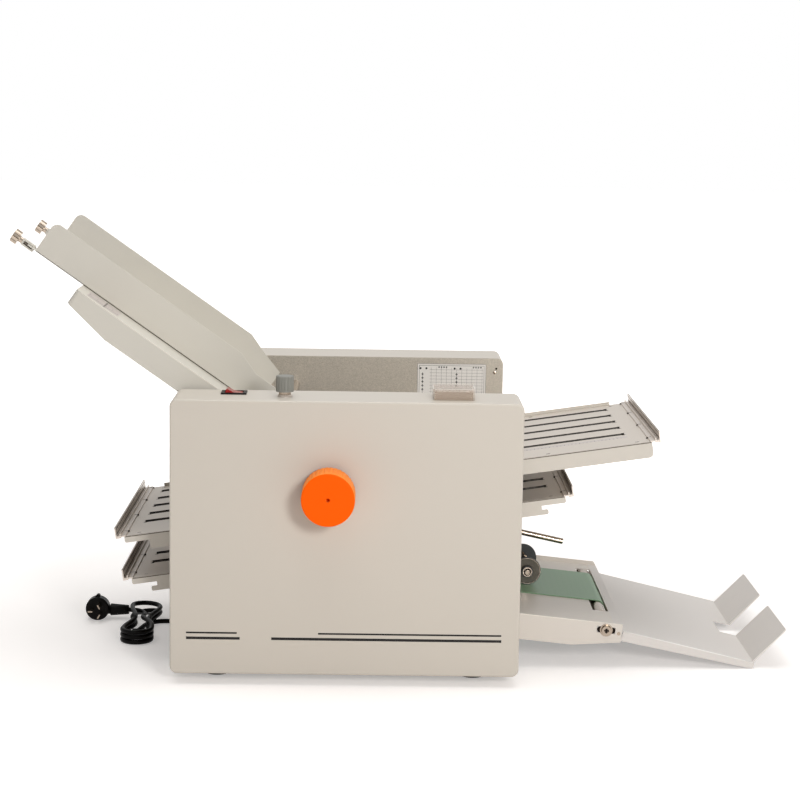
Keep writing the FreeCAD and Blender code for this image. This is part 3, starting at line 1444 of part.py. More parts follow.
def switch():
    """Makes the power switch: a bezel with its housing, and the rocker on a cross pin."""
    bezel = new_body("switch_bezel")
    half_x = "switch_length / 2"
    half_y = "switch_width / 2"
    rim = sketch_on(bezel, "XY_Plane")
    add_box(rim, "-" + half_x, "-" + half_y, half_x, half_y)
    pad(bezel, rim, "switch_rim_height")
    housing = sketch_on(bezel, "XY_Plane")
    add_box(housing, "switch_rim + 0.5 - " + half_x, "switch_rim + 0.5 - " + half_y,
            half_x + " - switch_rim - 0.5", half_y + " - switch_rim - 0.5")
    pad(bezel, housing, "switch_depth", backwards=True)
    well = sketch_on(bezel, "XY_Plane", "switch_rim_height + 1")
    add_box(well, "switch_rim + 2 - " + half_x, "switch_rim + 2 - " + half_y,
            half_x + " - switch_rim - 2", half_y + " - switch_rim - 2")
    pocket(bezel, well, "switch_rim_height + 1 + switch_depth - 2")
    reach_y = "(switch_width / 2 - switch_rim - 2 + rocker_pin_reach)"
    bore = sketch_on(bezel, "XZ_Plane", reach_y + " + switch_play / 2")
    add_circle(bore, "0", "0", "rocker_pin_radius + bush_play")
    bezel.Tip = pocket(bezel, bore, "2 * " + reach_y + " + switch_play")
    place(bezel, "left + switch_x", "front + switch_y", "top")
    rocker = new_body("switch_rocker")
    side = sketch_on(rocker, "XZ_Plane", "switch_width / 2 - switch_rim - 2 - switch_play")
    reach = "(switch_length / 2 - switch_rim - 2 - 2 * switch_play)"
    add_outline(side, [
        ("-" + reach, "-1"), ("-" + reach + " + 1", "rocker_peak - 2"),
        ("-" + reach + " + 3", "rocker_peak - 1"), ("0", "2.2"), (reach, "1.2"), (reach, "-1"),
        ("3", "-6"), ("-3", "-6")])
    pad(rocker, side, "switch_width - 2 * (switch_rim + 2 + switch_play)", backwards=True)
    pin = sketch_on(rocker, "XZ_Plane", reach_y)
    add_circle(pin, "0", "0", "rocker_pin_radius")
    rocker.Tip = pad(rocker, pin, "2 * " + reach_y, backwards=True)
    place(rocker, "left + switch_x", "front + switch_y", "top")


def speed_control():
    """Makes the speed knob with its ribs, and the nut that holds its control on the cover."""
    nut = document.addObject("Part::Prism", "nut_blank")
    bind(nut, Circumradius="nut_radius", Height="nut_height")
    nut.Polygon = 6
    bore = document.addObject("Part::Cylinder", "nut_bore")
    bind(bore, Radius="speed_shaft + bush_play", Height="nut_height")
    cut = document.addObject("Part::Cut", "speed_knob_nut")
    cut.Base = nut
    cut.Tool = bore
    node(cut, "speed_knob_nut")
    place(cut, "left + speed_x", "front + speed_y", "top")
    knob = new_body("speed_knob")
    base = "nut_height + stop_play"
    crown = base + " + speed_height"
    turned(knob, "Z", [
        ("-cover_wall - 4", "0"), ("-cover_wall - 4", "speed_shaft"), (base, "speed_shaft"),
        (base, "speed_radius"), (crown + " - 1", "speed_radius"), (crown, "speed_radius - 1"),
        (crown, "0")])
    first = notch(knob, "XY_Plane", base + " + 2", "speed_radius", "speed_rib_depth",
                  "speed_rib_half", "speed_height", backwards=True)
    around(knob, first, "Z", "speed_ribs")
    place(knob, "left + speed_x", "front + speed_y", "top")


def counter():
    """Makes the clear housing of the sheet counter on top of the front cover."""
    body = new_body("counter_housing")
    base = sketch_on(body, "XY_Plane")
    add_box(base, "-counter_length / 2", "-counter_width / 2", "counter_length / 2", "counter_width / 2")
    pad(body, base, "counter_height")
    round_edges(body, "counter_corner", lambda middle, edge: runs_along(edge, (0, 0, 1)))
    inside = sketch_on(body, "XY_Plane")
    add_box(inside, "counter_wall - counter_length / 2", "counter_wall - counter_width / 2",
            "counter_length / 2 - counter_wall", "counter_width / 2 - counter_wall")
    body.Tip = pocket(body, inside, "counter_height - counter_wall", backwards=True)
    place(body, "left + counter_x", "front + counter_y", "top")


# Mains cord

# The cord's way from its gland to its tied hank, from the cover's left end and front face.
CORD_ROUTE = ((22, 421.5, 46), (22, 392, 46), (22, 357, 21), (19, 330, 6), (7.5, 310.5, 3.6),
              (-13.5, 298, 3.6), (-38, 298, 3.6))
# The outline of the tied hank on the desk, from the same corner.
HANK_OUTLINE = (("hank_left", 204), (-82, 178), (-66, 178), (-48, 230), (-38, 284), (-38, 326),
                (-50, 346), (-86, 346), ("hank_left", 334))
# The earth pin and the two live pins of the plug: angle on the pin circle and angle of the blade.
PINS = ((180, 0), (60, -60), (-60, 60))


def route_point(point):
    """Moves a point of the cord from the cover's corner to the part's own origin."""
    return FreeCAD.Vector(point[0] + number("left"), point[1] + number("front"), point[2])


def cord_path(points):
    """Joins straight runs with tangent arcs, each as large as its two runs allow."""
    edges = []
    start = points[0]
    for before, corner, after in zip(points, points[1:], points[2:]):
        arriving = corner.sub(before)
        leaving = after.sub(corner)
        half_turn = arriving.getAngle(leaving) / 2
        reach = 0.45 * min(arriving.Length, leaving.Length)
        radius = reach / math.tan(half_turn)
        print("cord arc radius %.1f mm" % radius)
        into = FreeCAD.Vector(arriving).normalize()
        out = FreeCAD.Vector(leaving).normalize()
        first = corner.sub(into * reach)
        last = corner.add(out * reach)
        inward = out.sub(into).normalize()
        centre_distance = radius / math.cos(half_turn)
        top = corner.add(inward * (centre_distance - radius))
        edges.append(Part.LineSegment(start, first).toShape())
        edges.append(Part.Arc(first, top, last).toShape())
        start = last
    edges.append(Part.LineSegment(start, points[-1]).toShape())
    return Part.Wire(edges)


def cord():
    """Makes the gland on the rear frame, the lead as a plain tube, and the tied hank."""
    gland = new_body("cord_gland")
    turned(gland, "Y", [
        ("frame_wall + 2", "0"), ("frame_wall + 2", "gland_radius"), ("0", "gland_radius"),
        ("0", "gland_flange_radius"), ("-gland_flange_width", "gland_flange_radius"),
        ("-gland_flange_width", "gland_radius"), ("-gland_length", "gland_mouth"),
        ("-gland_length", "0")])
    place(gland, "left + gland_x", "middle + half_gap", "gland_z")
    radius = number("cord_radius")
    points = [route_point(point) for point in CORD_ROUTE]
    path = cord_path(points)
    section = Part.Face(Part.Wire(Part.Circle(points[0], points[1].sub(points[0]), radius).toShape()))
    tube = path.makePipe(section)
    print("cord length %.0f mm, tube volume is %.4f of section times length" %
          (path.Length, tube.Volume / (math.pi * radius ** 2 * path.Length)))
    lead = document.addObject("Part::Feature", "cord_lead")
    lead.Shape = tube
    node(lead, "cord_lead")
    hank = new_body("cord_hank")
    plan = sketch_on(hank, "XY_Plane")
    add_outline(plan, [(str(x), str(y)) for x, y in HANK_OUTLINE])
    pad(hank, plan, "hank_height")
    round_edges(hank, "hank_round", lambda middle, edge: near(middle.z, "hank_height"))
    place(hank, "left", "front", "desk_gap")


def power_plug():
    """Makes the plug: a stepped round body, three flat pins, and a neck at one side."""
    body = new_body("power_plug")
    half = "plug_length / 2"
    turned(body, "Y", [
        ("-" + half, "0"), ("-" + half, "plug_radius - plug_edge"),
        ("plug_edge - " + half, "plug_radius"), ("0", "plug_radius"), (half, "plug_waist"),
        (half, "0")])
    neck = sketch_on(body, "XZ_Plane")
    neck.setExpression("AttachmentOffset.Base.y", linked("-plug_neck_drop"))
    end = "hank_left - plug_x"
    add_outline(neck, [("0", "0"), ("0", "plug_neck"), (end, "plug_neck_end"), (end, "0")])
    stem = body.newObject("PartDesign::Revolution", "plug_neck")
    stem.Profile = neck
    stem.ReferenceAxis = (neck, ["H_Axis"])
    stem.Angle = 360
    pins = sketch_on(body, "XZ_Plane", half + " - 1")
    for position, blade in PINS:
        centre = ("pin_circle * cos(%d)" % position, "pin_circle * sin(%d)" % position)
        corners = []
        for along_blade, across in ((-1, -1), (1, -1), (1, 1), (-1, 1)):
            width = "%d * pin_width / 2" % along_blade
            thickness = "%d * pin_thickness / 2" % across
            corners.append((
                "%s + %s * cos(%d) - %s * sin(%d)" % (centre[0], width, blade, thickness, blade),
                "%s + %s * sin(%d) + %s * cos(%d)" % (centre[1], width, blade, thickness, blade)))
        add_outline(pins, corners)
    body.Tip = pad(body, pins, "pin_length + 1")
    place(body, "left + plug_x", "front + plug_y", "plug_radius + desk_gap")


fill_sheets()
front_cover()
rear_cover()
side_frame("front_side_frame", "middle - frame_out")
side_frame("rear_side_frame", "middle + half_gap")
base_plate()
tie_rods()
frame_studs()
rubber_feet()
roller_bearings()
for position, roller_letter in enumerate(ROLLERS):
    roller(roller_letter, position)
feed_roller()
drive_belts()
hand_knob()
motor()
motor_pulley()
for plate_name, plate_side, plate_nip, slot_end in PLATE_LIST:
    buckle_plate(plate_name, plate_side, plate_nip, slot_end)
feed_table()
guide_bar()
for guide_name, guide_side in (("near", -1), ("far", 1)):
    side_guide(guide_name + "_side_guide", guide_side)
    guide_screw(guide_name + "_guide_screw", guide_side)
entry_guide()
separator()
delivery_table()
delivery_belt()
belt_rollers()
press_rod()
press_carriage()
press_arm()
press_wheels()
delivery_tray()
switch()
speed_control()
counter()
cord()
power_plug()
document.recompute()

for item in document.Objects:
    if "Invalid" in item.State or "Error" in item.State:
        raise RuntimeError("%s failed: %s" % (item.Name, item.State))
os.makedirs("parts", exist_ok=True)
for node_name, thing in nodes.items():
    shape = thing.Shape
    if shape.isNull() or not shape.isValid():
        raise RuntimeError(node_name + " has no valid shape")
    shape.exportStep(os.path.join("parts", node_name + ".step"))
print("%d sub-parts written" % len(nodes))
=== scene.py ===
import logging
import math
from dataclasses import dataclass, field
from enum import Enum
from typing import Dict, List, Sequence, Tuple, Union

import bmesh
import bpy
from mathutils import Matrix, Vector

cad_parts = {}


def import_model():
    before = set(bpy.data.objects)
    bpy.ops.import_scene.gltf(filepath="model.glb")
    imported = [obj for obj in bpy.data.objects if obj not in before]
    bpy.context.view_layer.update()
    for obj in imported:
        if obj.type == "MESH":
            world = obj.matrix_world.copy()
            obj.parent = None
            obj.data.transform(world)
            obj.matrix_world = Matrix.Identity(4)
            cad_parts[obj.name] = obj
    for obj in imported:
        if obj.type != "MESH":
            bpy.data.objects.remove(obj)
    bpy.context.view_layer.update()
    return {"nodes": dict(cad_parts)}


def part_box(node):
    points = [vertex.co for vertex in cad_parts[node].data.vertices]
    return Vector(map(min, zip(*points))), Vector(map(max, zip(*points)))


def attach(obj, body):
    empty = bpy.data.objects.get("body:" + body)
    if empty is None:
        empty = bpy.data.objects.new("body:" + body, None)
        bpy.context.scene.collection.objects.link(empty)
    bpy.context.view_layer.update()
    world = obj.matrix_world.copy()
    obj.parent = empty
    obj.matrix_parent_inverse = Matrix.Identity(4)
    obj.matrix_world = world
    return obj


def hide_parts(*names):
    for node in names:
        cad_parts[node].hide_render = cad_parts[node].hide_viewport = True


# The looks of a desktop paper folding machine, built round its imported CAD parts. The frame is the
# part's own, in metres: +X towards the delivery tray, +Y from the hand knob to the rear cover, +Z
# up, with the origin on the desk. Pieces are given in millimetres in their own axes.

LOG = logging.getLogger("folding_machine")
Point = Tuple[float, float, float]
MM = 0.001

# The cover's left end, the front face and the middle plane between the side frames.
LEFT = -287.2036 * MM
FRONT = -243.0 * MM
MIDDLE = 25.0 * MM
CORNER = Matrix.Translation((LEFT, FRONT, 0.0))
# The sockets of a node that mixes colours, by number, because their names repeat.
FACTOR, FIRST, SECOND, MIXED = 0, 6, 7, 2


def from_corner(x: float, y: float, z: float) -> Vector:
    """Turns millimetres from the cover's left end, the front face and the desk into metres."""
    return Vector((LEFT + x * MM, FRONT + y * MM, z * MM))


def sloping(x: float, z: float, fall: float) -> Matrix:
    """Gives axes whose origin is in the middle plane and whose +X points down by some degrees."""
    origin = Vector((LEFT + x * MM, MIDDLE, z * MM))
    return Matrix.Translation(origin) @ Matrix.Rotation(math.radians(fall), 4, "Y")


class Grain(Enum):
    """Kinds of fine surface pattern."""

    ORANGE_PEEL = "orange_peel"
    SPANGLE = "spangle"
    BRUSHED = "brushed"
    MOULDED = "moulded"
    WOVEN = "woven"


class Axis(Enum):
    """What a round slab's or ring's flat faces are square to."""

    X = "X"
    Y = "Y"
    Z = "Z"


@dataclass(frozen=True)
class Finish:
    """One real surface finish and how to build its material.

    The record's slot, the sRGB colour, the roughness and the share of metal come first. The grain
    has a size and a depth in millimetres and a contrast. Faces square to Y take the flange colour
    where one is given, as a painted flange on a plain steel sheet does; on the hand knob this
    leaves the ribbed rim in the lighter colour, a painted highlight. Bump is how much of the
    grain's depth shows, and spread is how far the roughness varies with it.
    """

    name: str
    slot: str
    colour: str
    roughness: float = 0.5
    metallic: float = 0.0
    grain: Grain = Grain.MOULDED
    grain_mm: float = 1.0
    depth_mm: float = 0.01
    contrast: float = 0.04
    specular: float = 0.5
    alpha: float = 1.0
    flange: str = ""
    bump: float = 0.6
    spread: float = 0.05
    # How far a brushed grain is drawn out, and how square to Y a painted face is.
    stretch: float = 0.03
    square: float = 0.7

    def build(self) -> bpy.types.Material:
        """Builds the node material of this finish.

        Returns:
            The material, or the one already made under this name.
        """
        found = bpy.data.materials.get(self.name)
        if found is not None:
            return found
        material = bpy.data.materials.new(self.name)
        material.use_nodes = True
        tree = material.node_tree
        shader = tree.nodes["Principled BSDF"]
        value = self._pattern(tree)
        colour = add_node(tree, "Mix", {FACTOR: value,
                                        FIRST: linear(self.colour, 1.0 - self.contrast),
                                        SECOND: linear(self.colour, 1.0 + self.contrast)},
                          data_type="RGBA").outputs[MIXED]
        metallic = self.metallic
        if self.flange:
            colour, metallic = self._flange(tree, colour)
        bump = add_node(tree, "Bump", {"Strength": self.bump, "Distance": self.depth_mm * MM,
                                       "Height": value})
        gloss = add_node(tree, "MapRange", {"Value": value,
                                            "To Min": max(0.02, self.roughness - self.spread),
                                            "To Max": min(1.0, self.roughness + self.spread)})
        for name, source in (("Base Color", colour), ("Metallic", metallic),
                             ("Roughness", gloss.outputs["Result"]),
                             ("Normal", bump.outputs["Normal"]),
                             ("Specular IOR Level", self.specular), ("Alpha", self.alpha)):
            feed(tree, shader.inputs[name], source)
        return material

    def _pattern(self, tree: bpy.types.NodeTree) -> bpy.types.NodeSocket:
        """Adds the grain's texture.

        Args:
            tree: the material's node tree.

        Returns:
            The texture's value, from 0 to 1.
        """
        place = add_node(tree, "TexCoord", {}).outputs["Object"]
        if self.grain is Grain.BRUSHED:
            stretch = add_node(tree, "Mapping", {"Vector": place,
                                                "Scale": (1.0, self.stretch, 1.0)})
            place = stretch.outputs["Vector"]
        inputs = {"Vector": place, "Scale": 1.0 / (self.grain_mm * MM)}
        if self.grain is Grain.SPANGLE:
            crystals = add_node(tree, "TexVoronoi", inputs).outputs["Color"]
            return add_node(tree, "SeparateColor", {"Color": crystals}).outputs["Red"]
        if self.grain is Grain.WOVEN:
            inputs["Randomness"] = 0.25
            return add_node(tree, "TexVoronoi", inputs).outputs["Distance"]
        inputs["Detail"] = 3.0 if self.grain is Grain.MOULDED else 1.0
        return add_node(tree, "TexNoise", inputs).outputs["Fac"]

    def _flange(self, tree: bpy.types.NodeTree,
                bare: bpy.types.NodeSocket) -> Tuple[bpy.types.NodeSocket, bpy.types.NodeSocket]:
        """Paints the faces square to Y, and leaves the others as bare sheet or painted highlight.

        Args:
            tree: the material's node tree.
            bare: the bare sheet's colour.

        Returns:
            The colour of bare and painted faces together, and their share of metal.
        """
        normal = add_node(tree, "TexCoord", {}).outputs["Normal"]
        facing = add_node(tree, "SeparateXYZ", {"Vector": normal}).outputs["Y"]
        size = add_node(tree, "Math", {0: facing}, operation="ABSOLUTE").outputs[0]
        painted = add_node(tree, "Math", {0: size, 1: self.square},
                           operation="GREATER_THAN").outputs[0]
        sheet = add_node(tree, "Math", {0: 1.0, 1: painted}, operation="SUBTRACT").outputs[0]
        metallic = add_node(tree, "Math", {0: sheet, 1: self.metallic}, operation="MULTIPLY")
        colour = add_node(tree, "Mix", {FACTOR: painted, FIRST: bare, SECOND: linear(self.flange)},
                          data_type="RGBA")
        return colour.outputs[MIXED], metallic.outputs[0]


def linear(colour: str, factor: float = 1.0) -> List[float]:
    """Turns an sRGB hex colour into a linear one.

    Args:
        colour: the hex value.
        factor: what red, green and blue are multiplied by.

    Returns:
        Red, green, blue and alpha, from 0 to 1.
    """
    channels = [int(colour[start:start + 2], 16) / 255.0 for start in (1, 3, 5)]
    light = [c / 12.92 if c <= 0.04045 else ((c + 0.055) / 1.055) ** 2.4 for c in channels]
    return [min(1.0, channel * factor) for channel in light] + [1.0]


def feed(tree: bpy.types.NodeTree, socket: bpy.types.NodeSocket, source: object) -> None:
    """Links an input to another node's output, or sets it to a plain value.

    Args:
        tree: the node tree that both are in.
        socket: the input.
        source: an output or a plain value.
    """
    if isinstance(source, bpy.types.NodeSocket):
        tree.links.new(source, socket)
    else:
        socket.default_value = source


def add_node(tree: bpy.types.NodeTree, kind: str, inputs: Dict[Union[str, int], object],
             **settings: object) -> bpy.types.Node:
    """Adds a node with its settings and links.

    Args:
        tree: the node tree that it goes into.
        kind: the node's type, without the word ShaderNode.
        inputs: outputs to link or plain values to set, by the input's name or number.
        settings: the node's own settings, such as a math node's operation.

    Returns:
        The node.
    """
    node = tree.nodes.new("ShaderNode" + kind)
    for name, value in settings.items():
        setattr(node, name, value)
    for name, source in inputs.items():
        feed(tree, node.inputs[name], source)
    return node


# Powder coat on the folded covers: a faint orange peel softens every reflection.
PAINT = Finish("beige_powder_coat", "cover_paint", "#C9C1B5", 0.4, grain=Grain.ORANGE_PEEL,
               grain_mm=1.6, depth_mm=0.012, contrast=0.01)
# The same coat drawn lighter on a bead over a bend: a painted highlight along it.
PAINT_EDGE = Finish("powder_coat_painted_highlight", "cover_paint", "#E9E2D7", 0.3,
                    grain=Grain.ORANGE_PEEL, grain_mm=1.6, depth_mm=0.006, contrast=0.01)
# The narrow gap where two sheets meet, with painted shade in it, and the painted shadow under the
# near guide: a soft brown line without shine.
PAINT_SHADE = Finish("shaded_sheet_joint", "cover_paint", "#5E564C", 0.7, grain=Grain.ORANGE_PEEL,
                     grain_mm=1.6, depth_mm=0.006, contrast=0.05, specular=0.1)
# The coat of the feed table and its guides: paler and a little greener than the covers.
FEED_PAINT = Finish("ivory_powder_coat", "cover_paint", "#CFCABF", 0.42, grain=Grain.ORANGE_PEEL,
                    grain_mm=1.6, depth_mm=0.012, contrast=0.01)
# The coat of the belt table: paler and warmer, with a little more shine.
TABLE_PAINT = Finish("light_beige_powder_coat", "cover_paint", "#D8D0C6", 0.36,
                     grain=Grain.ORANGE_PEEL, grain_mm=1.6, depth_mm=0.012, contrast=0.01)
# The coat of the delivery tray: nearly grey, and flatter than the covers.
PALE_PAINT = Finish("pale_grey_powder_coat", "tray_paint", "#DAD4CE", 0.45,
                    grain=Grain.ORANGE_PEEL, grain_mm=1.6, depth_mm=0.012, contrast=0.01)
# That coat drawn lighter on a bead over the tray's bend: a painted highlight along it.
PALE_EDGE = Finish("pale_coat_painted_highlight", "tray_paint", "#EFECE8", 0.3, grain=Grain.ORANGE_PEEL,
                   grain_mm=1.6, depth_mm=0.006, contrast=0.01)
# Zinc-dipped sheet: small dull and bright crystals side by side.
GALVANISED = Finish("galvanised_steel", "galvanised", "#B2AA9D", 0.42, metallic=0.4,
                    grain=Grain.SPANGLE, grain_mm=0.9, depth_mm=0.004, contrast=0.16)
# Fine-grained zinc-coated sheet, worn smooth by paper, with painted flanges.
PLATE_STEEL = Finish("satin_plate_steel", "galvanised", "#D0C6BA", 0.36, metallic=0.45,
                     grain=Grain.SPANGLE, grain_mm=1.1, depth_mm=0.002, contrast=0.05,
                     flange="#CCC5BA")
# Turned and nickel-plated steel: clear reflections with fine lines. The tool marks are drawn
# coarser than real, so that they show.
BRIGHT_STEEL = Finish("nickel_plated_steel", "bright_steel", "#A99C8E", 0.22, metallic=1.0,
                      grain=Grain.BRUSHED, grain_mm=0.6, depth_mm=0.002, contrast=0.04)
# Drawn aluminium profile: a soft sheen with lines along it, drawn coarser than real.
ALUMINIUM = Finish("extruded_aluminium", "aluminium", "#CFC5BB", 0.34, metallic=0.5,
                   grain=Grain.BRUSHED, grain_mm=0.5, depth_mm=0.004, contrast=0.06)
# Moulded rubber: dark, matt and slightly mottled.
BLACK_RUBBER = Finish("black_rubber", "black_rubber", "#120F0D", 0.6, grain_mm=0.8, depth_mm=0.03,
                      contrast=0.15, specular=0.12)
# Cord and plug in soft PVC: black with a narrow soft highlight.
CORD_PVC = Finish("black_cord_pvc", "black_rubber", "#0A0807", 0.36, grain_mm=1.0, depth_mm=0.008,
                  contrast=0.1, specular=0.1)
# Ground rubber on the rollers: mid grey without shine.
ROLLER_RUBBER = Finish("grey_roller_rubber", "roller_rubber", "#6A6A6C", 0.55, grain_mm=0.7,
                       depth_mm=0.02, contrast=0.08)
# Moulded orange plastic: the flat face in its own orange, and the ribbed rim painted lighter as a
# highlight.
ORANGE_PLASTIC = Finish("orange_moulded_plastic", "orange_plastic", "#FF9038", 0.5, grain_mm=0.9,
                        depth_mm=0.01, contrast=0.03, specular=0.06, flange="#FF5F00")
# Moulded black plastic with a matt skin, whose grain is drawn coarser than real.
BLACK_PLASTIC = Finish("black_moulded_plastic", "black_plastic", "#141110", 0.42, grain_mm=0.7,
                       depth_mm=0.01, contrast=0.1, specular=0.15)
# Moulded grey plastic with a matt skin, whose grain is drawn coarser than real.
GREY_PLASTIC = Finish("grey_moulded_plastic", "grey_plastic", "#85847D", 0.45, grain_mm=0.7,
                      depth_mm=0.01, contrast=0.06, specular=0.3)
# Polished red plastic: sharp highlights.
RED_PLASTIC = Finish("red_gloss_plastic", "red_plastic", "#A30D0F", 0.14, grain_mm=1.2,
                     depth_mm=0.002, contrast=0.04)
# Woven belt under a thin coat: a faint weave, drawn coarser than its threads.
GREEN_BELT = Finish("green_belt_fabric", "green_belt", "#789A77", 0.36, grain=Grain.WOVEN,
                    grain_mm=0.9, depth_mm=0.008, contrast=0.05, specular=0.3)
# Sintered bronze: brown metal with a dull grain.
BRONZE = Finish("sintered_bronze", "bronze", "#A07A4A", 0.4, metallic=0.9, grain_mm=0.5,
                depth_mm=0.01, contrast=0.1)
# Clear moulding, slightly warm in tint, with sharp highlights.
CLEAR = Finish("clear_counter_plastic", "smoked_plastic", "#D3C2B0", 0.08, grain_mm=1.5,
               depth_mm=0.001, contrast=0.01, alpha=0.34)
# Painted highlights along the clear moulding's edges: near white.
CLEAR_EDGE = Finish("clear_edge_painted_highlight", "smoked_plastic", "#F0EAE2", 0.1, grain_mm=1.5,
                    depth_mm=0.001, contrast=0.01)
# The counter's inner block, brown under the clear moulding.
COUNTER_FACE = Finish("counter_face_plastic", "smoked_plastic", "#8C7562", 0.4, grain_mm=0.8,
                      depth_mm=0.002, contrast=0.12)
# Screen print on paint: flat and black.
BLACK_INK = Finish("black_print", "black_plastic", "#12100E", 0.5, grain_mm=0.4, depth_mm=0.001,
                   contrast=0.05, specular=0.3)
# Fine print, which reads grey from a distance; also the painted shade in the gaps between the
# counter's drums.
GREY_INK = Finish("grey_print_and_gap_shade", "black_plastic", "#6E6862", 0.5, grain_mm=0.4, depth_mm=0.001,
                  contrast=0.05, specular=0.3)
# White film of the chart and the counter's drums: smooth, with a slight shine.
LABEL_FILM = Finish("white_label_film", "tray_paint", "#E6E2DC", 0.35, grain_mm=0.5,
                    depth_mm=0.001, contrast=0.01)
# Grey film under the scales.
SCALE_FILM = Finish("grey_scale_film", "tray_paint", "#C2B8B2", 0.4, grain_mm=1.5, depth_mm=0.001,
                    contrast=0.05)
# Pressed fibre of the wheels: dark brown with a dull sheen.
WHEEL_FACE = Finish("brown_pressed_fibre", "black_plastic", "#4E483C", 0.3, metallic=0.2,
                    grain_mm=0.9, depth_mm=0.004, contrast=0.1)
# Near black with almost no shine: painted shade inside slots, holes, grooves, gaps, the guide
# screws' pockets and the roller's window, and the end bars' dark rivet marks.
HOLLOW = Finish("painted_shade_and_dark_marks", "black_plastic", "#1C1611", 0.8, grain_mm=0.8,
                depth_mm=0.002, contrast=0.1, specular=0.1)

PLATE_PLACES = ("upper_right", "lower_right", "upper_left", "lower_left")
NODE_FINISHES: Dict[Finish, Sequence[str]] = {
    PAINT: ("front_cover", "rear_cover"),
    FEED_PAINT: ("feed_table", "near_side_guide", "far_side_guide"),
    TABLE_PAINT: ("delivery_table",),
    PALE_PAINT: ("delivery_tray",),
    GALVANISED: ("front_side_frame", "rear_side_frame", "base_plate", "separator_bracket"),
    PLATE_STEEL: [place + "_plate" for place in PLATE_PLACES],
    ALUMINIUM: [place + part for part in ("_end_bar", "_stop") for place in PLATE_PLACES],
    BRIGHT_STEEL: ("tie_rods", "frame_studs", "guide_bar", "entry_guide", "belt_table_axles",
                   "belt_idler_roller", "press_rod", "near_guide_screw", "far_guide_screw",
                   "speed_knob_nut", "press_carriage", "press_arm", "belt_drive_roller",
                   "motor_pulley"),
    BLACK_RUBBER: ("rubber_feet", "separator_pad", "drive_belts", "cord_gland", "press_wheels"),
    CORD_PVC: ("power_plug",),
    ROLLER_RUBBER: ("feed_roller", *("roller_" + letter for letter in "abcdef")),
    ORANGE_PLASTIC: ("hand_knob",),
    BLACK_PLASTIC: ("motor", "switch_bezel"),
    GREY_PLASTIC: ("speed_knob",),
    RED_PLASTIC: ("switch_rocker",),
    GREEN_BELT: ("delivery_belt",),
    BRONZE: ("roller_bearings",),
    CLEAR: ("counter_housing",),
}


